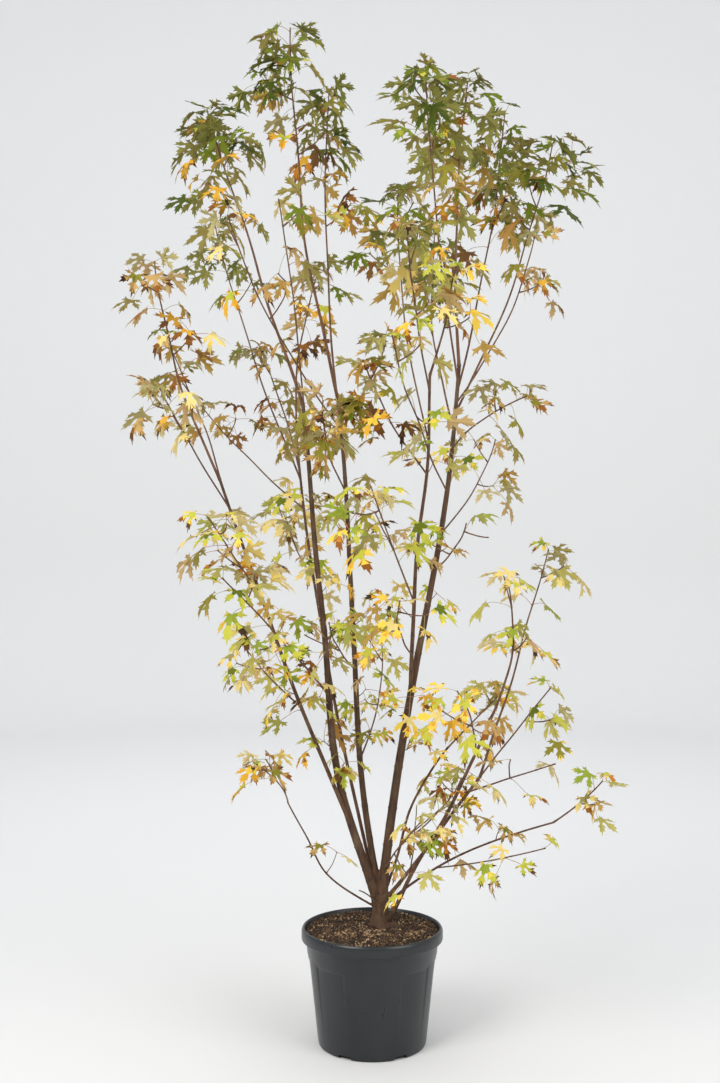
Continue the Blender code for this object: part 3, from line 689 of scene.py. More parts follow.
SHOOTS = (
    Shoot("left_crown", "left", 1, (-0.59, 0.06, 3.26), -0.005, 28, 0.5, 0.1, Tone.GREEN, 0.18, 0.0125,
          fuller=0.9, open_below=0.62, older=1.7),
    Shoot("left_side_shoot", "left", 0.955, (-0.31, -0.26, 2.83), 0.01, 11, 0.5, 0.09, Tone.TURNING, 0.14,
          thinner=0.3, open_below=0.7),
    Shoot("left_low_front", "left", 0.41, (-0.46, -0.52, 1.58), 0.015, 18, 0.25, 0.09, Tone.TURNING, 0.19, 0.0075),
    Shoot("outer_low_back", "outer_left", 0.36, (-0.47, 0.3, 1.33), -0.02, 10, 0.2, 0.08, Tone.TURNING, 0.16),
    Shoot("outer_tip", "outer_left", 1, (-0.735, -0.16, 2.65), -0.035, 16, 0.42, 0.092, Tone.TAN, 0.14, 0.0092,
          fuller=0),
    Shoot("outer_inner_tip", "outer_left", 0.96, (-0.75, 0.12, 2.46), 0.015, 9, 0.35, 0.084, Tone.AMBER, 0.13),
    Shoot("outer_low", "outer_left", 0.92, (-0.67, -0.45, 2.18), -0.005, 11, 0.3, 0.084, Tone.TAN, 0.15),
    Shoot("outer_middle", "outer_left", 0.66, (-0.51, -0.5, 1.77), 0.005, 15, 0.15, 0.084, Tone.TURNING, 0.17),
    Shoot("back_left_tip", "back", 0.95, (-0.43, 0.48, 2.48), 0.01, 18, 0.16, 0.09, Tone.AMBER, 0.17, 0.0075,
          older=1.3),
    Shoot("back_crown", "back", 1, (-0.19, 0.36, 2.79), -0.04, 14, 0.3, 0.092, Tone.AMBER, 0.17, 0.0085,
          fuller=0.7, full_to=2, open_below=0.85, older=1.3),
    Shoot("back_long_shoot", "back", 0.93, (-0.63, 0.62, 3.02), -0.025, 14, 0.5, 0.094, Tone.GREEN, 0.16, 0.0075,
          open_below=0.52),
    Shoot("far_left_tip", "back", 0.86, (-0.68, 0.56, 2.28), -0.02, 10, 0.5, 0.088, Tone.AMBER, 0.15),
    Shoot("back_middle", "back", 0.69, (-0.37, 0.62, 1.88), -0.01, 16, 0.1, 0.088, Tone.TURNING, 0.19),
    Shoot("top_left", "middle", 1, (-0.29, 0.02, 3.54), -0.04, 21, 0.58, 0.1, Tone.GREEN, 0.18, 0.0125,
          fuller=0.9, open_below=0.8, older=1.15),
    Shoot("top_middle", "middle", 0.96, (-0.16, 0.34, 3.45), -0.03, 21, 0.48, 0.1, Tone.GREEN, 0.18, 0.009, older=1.2),
    Shoot("middle_left_shoot", "middle", 0.94, (-0.45, -0.5, 2.7), -0.045, 11, 0.4, 0.088, Tone.TURNING, 0.15,
          open_below=0.6, older=1.3),
    Shoot("middle_upper", "middle", 0.81, (-0.16, -0.34, 2.15), -0.025, 14, 0.15, 0.09, Tone.TAN, 0.2,
          fuller=0.9, full_to=2),
    Shoot("middle_low_left", "middle", 0.45, (-0.14, -0.36, 1.44), -0.015, 11, 0.15, 0.082, Tone.FRESH, 0.2,
          thinner=0.5),
    Shoot("middle_low_right", "middle", 0.27, (0.04, 0.4, 1.35), 0.03, 12, 0.2, 0.084, Tone.FRESH, 0.2, thinner=0.5),
    Shoot("right_top", "right", 1, (0.35, 0.12, 3.39), -0.025, 22, 0.45, 0.1, Tone.GREEN, 0.19, 0.0125),
    Shoot("right_top_left", "right", 0.97, (0.17, -0.34, 3.24), -0.02, 22, 0.42, 0.1, Tone.GREEN, 0.19, 0.008,
          open_below=0.85),
    Shoot("right_top_right", "right", 0.95, (0.52, 0.4, 3.39), 0.025, 20, 0.34, 0.1, Tone.GREEN, 0.19, 0.008),
    Shoot("far_right_tip", "right", 0.91, (0.68, 0.26, 3.21), 0.04, 22, 0.55, 0.104, Tone.GREEN, 0.18, 0.0085,
          open_below=0.85),
    Shoot("far_right_low", "right", 0.93, (0.56, -0.08, 2.76), 0.04, 9, 0.45, 0.088, Tone.TAN, 0.15, thinner=0.2),
    Shoot("right_back_shoot", "right", 0.88, (0.27, 0.66, 3.03), -0.04, 17, 0.42, 0.098, Tone.GREEN, 0.19, 0.0075),
    Shoot("right_mid_side", "right", 0.84, (0.49, -0.36, 2.16), -0.035, 10, 0.35, 0.084, Tone.TAN, 0.14),
    Shoot("right_front_shoot", "right", 0.76, (0.05, -0.66, 2.3), -0.025, 15, 0.25, 0.09, Tone.TURNING, 0.2,
          thinner=0.35),
    Shoot("right_low_side", "right", 0.68, (0.48, 0.42, 2.12), 0.03, 12, 0.25, 0.084, Tone.TAN, 0.17, thinner=0.4),
    Shoot("right_mid_back", "right", 0.61, (0.29, -0.42, 1.75), 0.015, 12, 0.18, 0.08, Tone.FRESH, 0.17,
          fuller=0, thinner=0.4),
    Shoot("front_crown", "front_right", 1, (0.25, -0.46, 2.54), 0.01, 12, 0.15, 0.09, Tone.GOLD, 0.18, 0.0085),
    Shoot("front_left_shoot", "front_right", 0.95, (0.1, -0.6, 2.6), -0.01, 15, 0.3, 0.092, Tone.FRESH, 0.19,
          fuller=0.4),
    Shoot("front_tall_shoot", "front_right", 0.8, (0.09, -0.08, 2.92), -0.03, 15, 0.48, 0.098, Tone.GREEN, 0.18,
          older=1.5),
    Shoot("front_side_shoot", "front_right", 0.7, (-0.03, -0.54, 2.24), -0.025, 14, 0.15, 0.088, Tone.AMBER, 0.2,
          fuller=1, full_to=2),
    Shoot("front_mid", "front_right", 0.3, (-0.01, -0.62, 1.85), -0.005, 18, 0.15, 0.088, Tone.TURNING, 0.21,
          fuller=0.3, full_to=2),
    Shoot("front_low", "front_right", 0.13, (0.08, -0.5, 1.51), -0.025, 12, 0.15, 0.082, Tone.GOLD, 0.19, thinner=0.25),
    Shoot("behind_right_tip", "behind_right", 1, (0.52, 0.52, 1.15), 0.005, 15, 0.12, 0.086, Tone.GOLD, 0.16, 0.007),
    Shoot("low_back", "behind_right", 0.34, (0.34, 0.38, 0.83), 0.035, 10, 0.25, 0.078, Tone.GOLD, 0.18, thinner=0.35),
    Shoot("pair_left_tip", "pair_left", 1, (0.42, -0.4, 1.57), 0.04, 12, 0.2, 0.082, Tone.GOLD, 0.15, 0.0095,
          thinner=0.35),
    Shoot("pair_left_side", "pair_left", 0.82, (0.25, -0.54, 1.24), 0.02, 12, 0.18, 0.084, Tone.GOLD, 0.18,
          thinner=0.15),
    Shoot("pair_right_upper", "pair_right", 1, (0.64, 0.16, 1.69), 0.01, 17, 0.34, 0.082, Tone.TURNING, 0.14, 0.0095),
    Shoot("pair_right_low", "pair_right", 0.95, (0.59, -0.18, 1.22), -0.005, 8, 0.35, 0.08, Tone.TURNING, 0.14,
          thinner=0.2),
    Shoot("pair_right_side", "pair_right", 0.88, (0.58, -0.32, 0.99), -0.02, 10, 0.22, 0.078, Tone.TURNING, 0.15,
          thinner=0.3),
    Shoot("low_centre", "right", 0.055, (0.15, -0.3, 0.8), -0.015, 11, 0.2, 0.078, Tone.FRESH, 0.18),
    Shoot("lowest_right_tip", "lowest_right", 1, (0.775, -0.1, 0.9), 0.01, 10, 0.05, 0.076, Tone.TURNING, 0.13, 0.0058,
          thinner=0.2),
    Shoot("lowest_right_side", "lowest_right", 0.43, (0.55, -0.3, 0.72), 0, 9, 0.2, 0.074, Tone.TURNING, 0.13, 0.005,
          thinner=0.2),
    Shoot("lowest_left_tip", "lowest_left", 1, (-0.39, -0.22, 0.98), 0.025, 9, 0.02, 0.076, Tone.AMBER, 0.13, 0.0044),
)


def across(direction: Vector) -> tuple[Vector, Vector]:
    """Two unit vectors at right angles to a direction and to each other.

    Args:
        direction: The direction.

    Returns:
        Both vectors.
    """
    first = direction.cross(Vector((0.0, 1.0, 0.0)))
    if first.length < 0.2:
        first = direction.cross(Vector((1.0, 0.0, 0.0)))
    first.normalize()
    return first, direction.cross(first).normalized()


@dataclass(frozen=True)
class Bud:
    """A place on a stem or twig where a leaf stands.

    Age is 0 at the tip and 1 at the oldest pair, and down is how far below the shoot's tip it is.
    """

    host: Limb
    drawn: Limb
    share: float
    turn: float
    size: float
    age: float
    down: float


@dataclass(frozen=True)
class Blade:
    """Place and turn of one leaf: its stalk from root to base, its blade from base to tip."""

    root: Vector
    base: Vector
    along: Vector
    side: Vector
    length: float

    def corner(self, along: float, side: float, up: float = 0.0) -> Vector:
        """A place on the blade, in shares of its length."""
        over = self.side.cross(self.along).normalized()
        return self.base + (self.along * along + self.side * side + over * up) * self.length


@dataclass(frozen=True)
class LeafRule:
    """How a leaf leans from its bud and hangs, the same as in the source."""

    scale: float = 1.12
    widest: float = 0.46
    half_width: float = 0.45
    opening: tuple[float, float] = (46.0, 82.0)
    stalk: tuple[float, float] = (0.55, 1.0)
    roll: float = 50.0
    touch: float = 0.002

    def blade(self, bud: Bud, size: float, attempt: int, name: str) -> Blade:
        """One try at a leaf.

        Args:
            bud: Where it stands.
            size: Length of a full-grown blade on this shoot.
            attempt: Number of the try.
            name: Name that seeds its turns.

        Returns:
            The leaf's place.
        """
        rule = seeded(name, attempt)
        heading = bud.host.heading(bud.share)
        first, second = across(heading)
        turn = bud.turn + rule.uniform(-0.3, 0.3) * (1.0 + attempt * 0.35)
        out = first * math.cos(turn) + second * math.sin(turn)
        length = size * self.scale * bud.size * (1.0 - 0.02 * attempt)
        opening = math.radians(rule.uniform(*self.opening))
        lean = (heading * math.cos(opening) + out * math.sin(opening)).normalized()
        stalk = length * rule.uniform(*self.stalk) * (0.6 + 0.4 * min(1.0, bud.age * 2.0))
        root = bud.host.point(bud.share)
        age = bud.age
        droop = math.radians(rule.triangular(-25.0 + 20.0 * age, 72.0 + 12.0 * age, 14.0 + 34.0 * age))
        base = root + lean * stalk - UP * (0.10 * stalk * (1.0 + age))
        flat = Vector((lean.x, lean.y, 0.0))
        flat = flat.normalized() if flat.length > 0.05 else Vector((out.x, out.y, 0.0)).normalized()
        flat = Matrix.Rotation(rule.uniform(-0.6, 0.6), 3, "Z") @ flat
        along = (flat * math.cos(droop) - UP * math.sin(droop)).normalized()
        run = (base - root).normalized()
        while along.dot(run) < -0.05:
            along = (along + run * 0.15).normalized()
        side = along.cross(UP)
        side = side.normalized() if side.length > 0.05 else Vector((0.0, 1.0, 0.0)).cross(along).normalized()
        side = Matrix.Rotation(math.radians(rule.uniform(-self.roll, self.roll)), 3, along) @ side
        return Blade(bud.drawn.curve(bud.share), base, along, side, length)

    def fits(self, blade: Blade, solid: BVHTree) -> bool:
        """Whether the solid has a leaf at this place: its tip and both shoulders lie on its skin."""
        ends = ((1.0, 0.0), (self.widest, self.half_width), (self.widest, -self.half_width))
        return all(solid.find_nearest(blade.corner(*end), self.touch)[0] is not None for end in ends)


@dataclass(frozen=True)
class Lobe:
    """One lobe of the leaf: its rib's angle, its length and its edge from waist to neck.

    The edge is pairs of share of the lobe's length and half width; every second corner from the
    waist on is a tooth.
    """

    angle: float
    reach: float
    edge: tuple[tuple[float, float], ...]


LONG_EDGE = ((0.40, 0.064), (0.680, 0.212), (0.628, 0.108), (0.850, 0.112), (0.792, 0.046))
SHORT_EDGE = ((0.43, 0.072), (0.740, 0.160), (0.665, 0.062))


@dataclass(frozen=True)
class LobedLeaf:
    """The deeply cut five-lobed blade as a closed skin, thick only at its ribs."""

    lobes: tuple[Lobe, ...] = (Lobe(-99.0, 0.50, SHORT_EDGE), Lobe(-47.0, 0.86, LONG_EDGE), Lobe(0.0, 1.0, LONG_EDGE),
                               Lobe(47.0, 0.86, LONG_EDGE), Lobe(99.0, 0.50, SHORT_EDGE))
    rib: tuple[float, ...] = (0.37, 0.59, 0.77)
    sinus: tuple[float, ...] = (0.05, 0.21, 0.275, 0.275, 0.21, 0.05)
    thick: float = 0.010

    def outline(self, rule: Rule) -> tuple[list[Triple], list[Skin], set[int]]:
        """One leaf laid flat, with its own small differences.

        Args:
            rule: Random generator.

        Returns:
            Corners as along, side and distance from the nearest rib; faces of the upper side, each
            with its lobe and its rank, from 0 near the base to 3 at a lobe's tip; and the corners
            on the ribs.
        """
        corners: list[Triple] = [(0.0, 0.0, 0.0)]
        faces: list[Skin] = []
        inner: set[int] = set()
        lobes = [(math.radians(lobe.angle * rule.uniform(0.92, 1.08)), lobe.reach * rule.uniform(0.92, 1.04), lobe.edge)
                 for lobe in self.lobes]
        turns = [math.radians(-156.0)] + [(a[0] + b[0]) / 2.0 for a, b in zip(lobes, lobes[1:])] + [math.radians(156.0)]
        notches = []
        for turn, depth in zip(turns, self.sinus):
            depth *= rule.uniform(0.85, 1.12)
            notches.append(len(corners))
            corners.append((depth * math.cos(turn), depth * math.sin(turn), depth * 0.45))
        for index, (turn, reach, edge) in enumerate(lobes):
            out, aside = (math.cos(turn) * reach, math.sin(turn) * reach), (-math.sin(turn), math.cos(turn))
            ribs = list(range(len(corners), len(corners) + len(edge) // 2 + 1))
            corners += [(out[0] * share, out[1] * share, 0.0) for share in self.rib[:len(ribs)]]
            inner.update(ribs)
            tip = len(corners)
            corners.append((out[0], out[1], 0.0))
            wide = rule.uniform(0.85, 1.15) * (0.6 + 0.4 * reach)
            for hand, notch in ((-1.0, notches[index]), (1.0, notches[index + 1])):
                rim = list(range(len(corners), len(corners) + len(edge)))
                for share, width in edge:
                    share, width = share * rule.uniform(0.98, 1.02), width * wide * rule.uniform(0.86, 1.16) * hand
                    corners.append((out[0] * share + aside[0] * width, out[1] * share + aside[1] * width, abs(width)))
                half = [(0, (0, notch, rim[0], ribs[0]))]
                for step in range(len(edge) // 2):
                    waist, tooth, neck = rim[2 * step:2 * step + 3]
                    half += [(1 + step, (ribs[step], waist, tooth)), (2 + step, (ribs[step], tooth, neck)),
                             (1 + step, (ribs[step], neck, ribs[step + 1]))]
                half.append((3, (ribs[-1], rim[-1], tip)))
                faces += [(index, rank, face if hand > 0.0 else face[::-1]) for rank, face in half]
        return corners, faces, inner

    def grow(self, heap: Heap, blade: Blade, upper: Sequence[Sequence[int]], under: int, curl: float,
             rule: Rule) -> None:
        """Adds one bent leaf to a heap.

        Args:
            heap: Where its faces go.
            blade: Its place and turn.
            upper: Material slot of its upper faces, for each lobe and rank.
            under: Material slot of its under faces.
            curl: How far its tips bend down, in shares of its length.
            rule: Random generator.
        """
        corners, faces, inner = self.outline(rule)
        trough, cup, twist = rule.uniform(0.15, 0.60), rule.uniform(-0.55, 0.25), rule.uniform(-0.5, 0.5)
        fold = rule.uniform(-0.45, 0.20)
        wave, phase = rule.uniform(0.0, 0.03) + curl * 0.06, rule.uniform(0.0, math.tau)
        places = []
        for along, side, off in corners:
            reach = math.hypot(along, side)
            rise = curl * (0.55 * reach - reach * reach) + trough * off + twist * along * side
            rise += cup * side * side + fold * abs(side)
            rise += wave * math.sin(9.0 * math.atan2(side, along) + phase) * reach
            places.append((along * (1.0 - 0.15 * curl), side * (1.0 - 0.40 * curl), rise))
        ribs = sorted(inner | {0})
        lower = {corner: len(places) + order for order, corner in enumerate(ribs)}
        base = len(heap.corners)
        heap.add([blade.corner(*place) for place in places]
                 + [blade.corner(places[rib][0], places[rib][1], places[rib][2] - self.thick) for rib in ribs],
                 [face for _, _, face in faces], [upper[lobe][rank] for lobe, rank, _ in faces])
        heap.faces += [tuple(base + lower.get(corner, corner) for corner in (face[0], *reversed(face[1:])))
                       for _, _, face in faces]
        heap.finish += [under] * len(faces)


TWIG_TURNS = (0.0, math.pi, math.pi / 2, -math.pi / 2, 0.9)
TWIG_JOINTS = (0.57, 0.94)
STEM_SPRIGS = (("left", 0.22, 0.97, 6), ("middle", 0.20, 0.95, 7), ("right", 0.16, 0.90, 5),
               ("front_right", 0.12, 0.90, 5), ("outer_left", 0.10, 0.92, 6), ("back", 0.30, 0.95, 3),
               ("pair_left", 0.30, 0.95, 2), ("pair_right", 0.35, 0.95, 2), ("lowest_right", 0.35, 0.90, 1),
               ("lowest_left", 0.25, 0.60, 1))
FULLER = {Tone.GREEN: 0.75, Tone.AMBER: 0.3, Tone.TAN: 0.15, Tone.FRESH: 0.15, Tone.GOLD: 0.1, Tone.TURNING: 0.05}
# For each tint a darker one, dealt to leaves high in the crown as painted shade, and a lighter one, dealt to leaves low
# down as painted light.
PAINTED_SHADE_TINTS = kin("YELLOW OCHRE, LIME OLIVE, PALE TAN, BRIGHT GREEN")
PAINTED_LIGHT_TINTS = kin("OLIVE YELLOW, SILVER PALE, GREEN LIME, DEEP BRIGHT, RUST GOLD")
HEARTS = kin("OCHRE OLIVE OCHRE GOLD, GOLD YELLOW LIME GOLD, YELLOW LIME YELLOW PALE, ORANGE GOLD OLIVE ORANGE, "
             "RUST ORANGE RUST GOLD, LIME BRIGHT LIME GREEN, TAN OLIVE PALE TAN, BROWN RUST BROWN, "
             "PALE LIME PALE SILVER")
RIMS = kin("OCHRE RUST BROWN, DEEP GREEN DEEP OLIVE, GREEN OLIVE GREEN LIME, OLIVE GREEN TAN YELLOW, SILVER OLIVE TAN, "
           "BRIGHT LIME OLIVE GREEN, LIME YELLOW GOLD BRIGHT, YELLOW GOLD ORANGE, GOLD ORANGE RUST, ORANGE RUST, "
           "PALE TAN YELLOW, TAN RUST BROWN, RUST BROWN SCORCH")
DRYNESS = {Tint.YELLOW: 0.2, Tint.PALE: 0.25, Tint.GOLD: 0.4, Tint.OCHRE: 0.5, Tint.ORANGE: 0.6, Tint.TAN: 0.6,
           Tint.RUST: 0.8, Tint.BROWN: 1.0, Tint.SCORCH: 1.0}


# ---------------------------------------------------------------- foliage


@dataclass
class Foliage:
    """Every mass of foliage: shoot stems, side twigs, leaf stalks and lobed leaves."""

    limbs: dict[str, Limb]
    rule: LeafRule = field(default_factory=LeafRule)
    leaf: LobedLeaf = field(default_factory=LobedLeaf)
    twig_share: float = 0.52
    twig_leaves: float = 4.0
    fine_every: int = 3
    tries: int = 14
    fine_tries: int = 6
    touch: float = 0.0032
    # Leaves above the first height may take a darker tint, painted shade on the top of the crown; leaves below the
    # second may take a lighter one, painted light on the low leaves. Both grow in over the fade.
    dull_above: float = 2.15
    dull_share: float = 0.75
    pale_below: float = 2.0
    pale_share: float = 0.65
    fade: float = 0.5
    tip_radius: float = 0.0021
    twig_radius: float = 0.0024
    twig_tip_radius: float = 0.0020
    stalk_radius: float = 0.00085
    blades: dict[Tone, Heap] = field(default_factory=lambda: {tone: Heap() for tone in Tone})
    wood: Heap = field(default_factory=Heap)
    twigs: Heap = field(default_factory=Heap)
    stalks: Heap = field(default_factory=Heap)

    def axis_of(self, shoot: Shoot) -> Limb:
        """The axis of a shoot's stem, as the solids have it.

        Args:
            shoot: The shoot's sizes.

        Returns:
            The axis.
        """
        foot, tip = self.limbs[shoot.limb].point(shoot.share), Vector(shoot.tip)
        bow = Vector((shoot.bow, 0.10 * (tip.y - foot.y), 0.0))
        return Limb(shoot.name, foot, tip, bow, 0.0, shoot.girth / 2.0, self.tip_radius, 0.23)

    def twig_axis(self, axis: Limb, name: str, share: float, side: float, length: float) -> Limb:
        """The axis of a side twig: out from the stem, then up.

        Args:
            axis: The shoot's stem.
            name: Name that seeds its bends.
            share: Where it leaves the stem.
            side: Angle round the stem.
            length: Its length.

        Returns:
            The twig's axis.
        """
        heading = axis.heading(share)
        first, second = across(heading)
        out = first * math.cos(side) + second * math.sin(side)
        foot = axis.point(share)
        lean = (heading * 0.55 + out * 0.80 + Vector((0.0, 0.0, 0.12))).normalized()
        bow = (out - heading * 0.4) * (0.06 * length)
        return Limb(name, foot, foot + lean * length, bow, 0.0, self.twig_radius, self.twig_tip_radius, 0.09)

    def plan(self, shoot: Shoot, axis: Limb, drawn: Limb, solid: BVHTree) -> tuple[list[Limb], list[Bud]]:
        """Twigs and leaf places of a shoot, in the source's order.

        Args:
            shoot: The shoot's sizes.
            axis: Its stem as the solids have it.
            drawn: Its stem as it is drawn.
            solid: Search tree of its solid.

        Returns:
            The drawn twigs, and the buds.
        """
        rule = seeded("twigs", shoot.name)
        on_twigs = round(shoot.leaves * self.twig_share)
        count = max(1, round(on_twigs / self.twig_leaves))
        turn = rule.uniform(0.0, math.tau)
        on_stem = shoot.leaves - on_twigs
        pairs = math.ceil(on_stem / 2)
        buds, twigs = [], []
        for index in range(on_stem):
            pair = index // 2
            share = 1.0 - (1.0 - shoot.bare) * (pair / max(1, pairs)) ** 1.4
            side = turn + math.pi * (index % 2) + math.pi / 2.0 * pair + rule.uniform(-0.35, 0.35)
            age = pair / max(1, pairs - 1)
            size = (0.82 + 0.24 * min(1.0, age * 2.5)) * rule.uniform(0.90, 1.10)
            buds.append(Bud(axis, drawn, share - 0.006 - 0.006 * (index % 2), side, size, age,
                            (1.0 - share) / (1.0 - shoot.bare)))
        for index in range(count):
            step = (index + 0.5 + rule.uniform(-0.2, 0.2)) / count
            share = shoot.bare + (0.94 - shoot.bare) * step**0.75
            side = turn + 2.4 * index + rule.uniform(-0.4, 0.4)
            length = shoot.spread * rule.uniform(0.45, 0.80)
            for attempt in range(self.fine_tries):
                twig = self.twig_axis(axis, f"{shoot.name}_twig_{index}", share, side + 1.1 * attempt, length)
                near = (solid.find_nearest(twig.point(part), self.touch)[0] for part in (0.4, 0.6, 0.8, 1.0))
                if all(found is not None for found in near):
                    twigs.append((twig, twig.leaving(drawn, share), (1.0 - share) / (1.0 - shoot.bare)))
                    break
        rule = seeded("leaves", shoot.name)
        for index in range(on_twigs if twigs else 0):
            twig, shown, down = twigs[index % len(twigs)]
            rank = min(index // len(twigs), 4)
            side = rule.uniform(-0.4, 0.4) + TWIG_TURNS[rank]
            share = (0.97, 0.92, 0.62, 0.56, 0.32)[rank]
            buds.append(Bud(twig, shown, share, side, rule.uniform(0.82, 1.08), rule.uniform(0.3, 1.0),
                            max(0.0, down - 0.30 * (rank < 2))))
        return [shown for _, shown, _ in twigs], buds

    def place(self, shoot: Shoot, buds: Sequence[Bud], solid: BVHTree) -> list[tuple[Bud, Blade]]:
        """Sets the leaves: first those that the solids have, then the finer ones between them.

        Args:
            shoot: The shoot's sizes.
            buds: Its buds.
            solid: Search tree of its solid.

        Returns:
            Each leaf with its bud.
        """
        leaves, later = [], []
        gaps = seeded("gaps", shoot.name)
        for index, bud in enumerate(buds):
            if gaps.random() < shoot.thinner or bud.down > shoot.open_below:
                continue
            tries = [self.rule.blade(bud, shoot.blade, attempt, f"{shoot.name}_leaf_{index}")
                     for attempt in range(self.tries)]
            if index % self.fine_every == self.fine_every - 1:
                later.append((bud, tries))
                continue
            found = next((blade for blade in tries if self.rule.fits(blade, solid)), None)
            if found:
                leaves.append((bud, found))
        rule = seeded("finer", shoot.name)
        young = [bud for bud in buds if bud.down < shoot.full_to] or list(buds)
        fuller = FULLER[shoot.tone] if shoot.fuller < 0.0 else shoot.fuller
        for index in range(round(fuller * len(buds))):
            bud = rule.choice(young)
            share = min(1.0, max(0.05, bud.share + rule.uniform(-0.12, 0.05)))
            bud = replace(bud, share=share, turn=rule.uniform(0.0, math.tau), size=bud.size * rule.uniform(0.62, 0.95))
            later.append((bud, [self.rule.blade(bud, shoot.blade, attempt, f"{shoot.name}_finer_{index}")
                                for attempt in range(self.fine_tries)]))
        for bud, tries in later:
            def room(blade: Blade) -> float:
                """Distance from the middle of this blade to the nearest one that is set."""
                middle = blade.corner(0.5, 0.0)
                return min((middle - other.corner(0.5, 0.0)).length for _, other in leaves) if leaves else 1.0
            leaves.append((bud, max(tries[:self.fine_tries], key=room)))
        return leaves

    def stalk(self, bud: Bud, blade: Blade, finish: int) -> None:
        """Adds a leaf's stalk: it leaves the twig, then bends into the blade.

        Args:
            bud: Where the leaf stands.
            blade: The leaf's place and turn.
            finish: Material slot.
        """
        reach = (blade.base - blade.root).length
        first = blade.root + (bud.drawn.heading(bud.share) * 0.5 + (blade.base - blade.root) / reach) * reach * 0.25
        last = blade.base - blade.along * reach * 0.22
        places = [blade.root * (1 - t) ** 3 + first * (3 * t * (1 - t) ** 2) + last * (3 * t * t * (1 - t))
                  + blade.base * t**3 for t in (part / 6 for part in range(7))]
        self.stalks.tube(places, [self.stalk_radius * wide for wide in (1.9, 1.1, 1, 1, 1, 1, 0.8)], 5, finish)

    def build(self) -> None:
        """Grows every shoot and hands the joined pieces to the frame."""
        total = sum(self.grow(shoot) for shoot in SHOOTS) + sum(self.sprigs(*row) for row in STEM_SPRIGS)
        masses = [shoot.name for shoot in SHOOTS]
        young = BarkFinish("shoot_bark", linear(72, 46, 34), linear(122, 84, 58), linear(132, 112, 88), 0.0004)
        bark = [young.material()]
        green = [LeafFinish("stalk_rosy", linear(156, 108, 84)).material(),
                 LeafFinish("stalk_green", linear(164, 156, 96)).material()]
        for name, heap, finishes in (("shoot_stems", self.wood, bark), ("side_twigs", self.twigs, bark),
                                     ("leaf_stalks", self.stalks, green)):
            piece(heap.object(name), masses, finishes, 60.0)
        finishes = [tint.finish(under) for under in (False, True) for tint in Tint]
        for tone, heap in self.blades.items():
            names = [shoot.name for shoot in SHOOTS if shoot.tone is tone]
            slot = f"leaves_{tone.name.lower()}"
            piece(heap.object(f"{slot}_blades"), names, finishes, 38.0)
        log.info("%d leaves in all", total)

    def grow(self, shoot: Shoot) -> int:
        """Grows one shoot with its twigs and leaves.

        Args:
            shoot: The shoot's sizes.

        Returns:
            Number of leaves.
        """
        axis = self.axis_of(shoot)
        drawn = axis.leaving(self.limbs[shoot.limb], shoot.share)
        mesh = bmesh.new()
        mesh.from_mesh(frame["nodes"][shoot.name].data)
        solid = BVHTree.FromBMesh(mesh)
        mesh.free()
        twigs, buds = self.plan(shoot, axis, drawn, solid)
        self.wood.branch(drawn, 10, 0.014, [bud.share for bud in buds if bud.host is axis])
        for twig in twigs:
            self.twigs.branch(twig, 7, 0.012, TWIG_JOINTS)
        return self.dress(shoot, self.place(shoot, buds, solid))

    def sprigs(self, name: str, first: float, last: float, count: int) -> int:
        """Short leafy twigs that stand straight on a thick stem, between the shoots.

        Args:
            name: The stem.
            first: Share of its length where they start.
            last: Share where they end.
            count: Number of sprigs.

        Returns:
            Number of leaves.
        """
        total = 0
        rule = seeded("sprigs", name)
        for index in range(count):
            share = first + (last - first) * (index + rule.uniform(0.1, 0.9)) / count
            sprig = f"{name}_sprig_{index}"
            turn, length = rule.uniform(0.0, math.tau), rule.uniform(0.035, 0.11)
            twig = self.twig_axis(self.limbs[name], sprig, share, turn, length)
            twig = replace(twig, foot_radius=0.0016, tip_radius=0.0011)
            self.twigs.branch(twig, 6, 0.012, TWIG_JOINTS)
            tone = rule.choice((Tone.TURNING, Tone.GOLD, Tone.FRESH, Tone.TAN))
            shoot = Shoot(sprig, name, share, tuple(twig.tip), 0.0, 4, 0.0, 0.080, tone)
            placed = []
            for step in range(rule.choice((2, 3, 4, 4, 5))):
                bud = Bud(twig, twig, (0.97, 0.95, 0.60, 0.55, 0.25)[step], rule.uniform(-0.4, 0.4) + TWIG_TURNS[step],
                          rule.uniform(0.70, 1.05), rule.uniform(0.3, 1.0), rule.uniform(0.2, 1.0))
                placed.append((bud, self.rule.blade(bud, shoot.blade, 0, f"{sprig}_leaf_{step}")))
            total += self.dress(shoot, placed)
        return total

    def dress(self, shoot: Shoot, placed: Sequence[tuple[Bud, Blade]]) -> int:
        """Shapes and tints the leaves of one shoot.

        Args:
            shoot: The shoot's sizes.
            placed: Its leaves.

        Returns:
            Number of leaves.
        """
        rule = seeded("dress", shoot.name)
        for bud, blade in placed:
            tint = shoot.tone.tint(bud.down * shoot.older, rule)
            # Painted shade: leaves high up may take a darker tint. Painted light: leaves low down may take a lighter
            # tint.
            high, low = blade.base.z - self.dull_above, self.pale_below - blade.base.z
            for share, past, others in ((self.dull_share, high, PAINTED_SHADE_TINTS), (self.pale_share, low, PAINTED_LIGHT_TINTS)):
                if rule.random() < share * min(1.0, max(0.0, past / self.fade)):
                    tint = others.get(tint, (tint,))[0]
            dry = DRYNESS.get(tint, 0.05)
            curl = rule.uniform(0.05, 0.45) + dry * rule.uniform(0.0, 0.8)
            slots = [[part.slot() for part in ranks] for ranks in self.paint(tint, dry, rule)]
            self.leaf.grow(self.blades[shoot.tone], blade, slots, tint.slot(True), min(curl, 1.0), rule)
            self.stalk(bud, blade, 0 if rule.random() < 0.45 else 1)
        return len(placed)

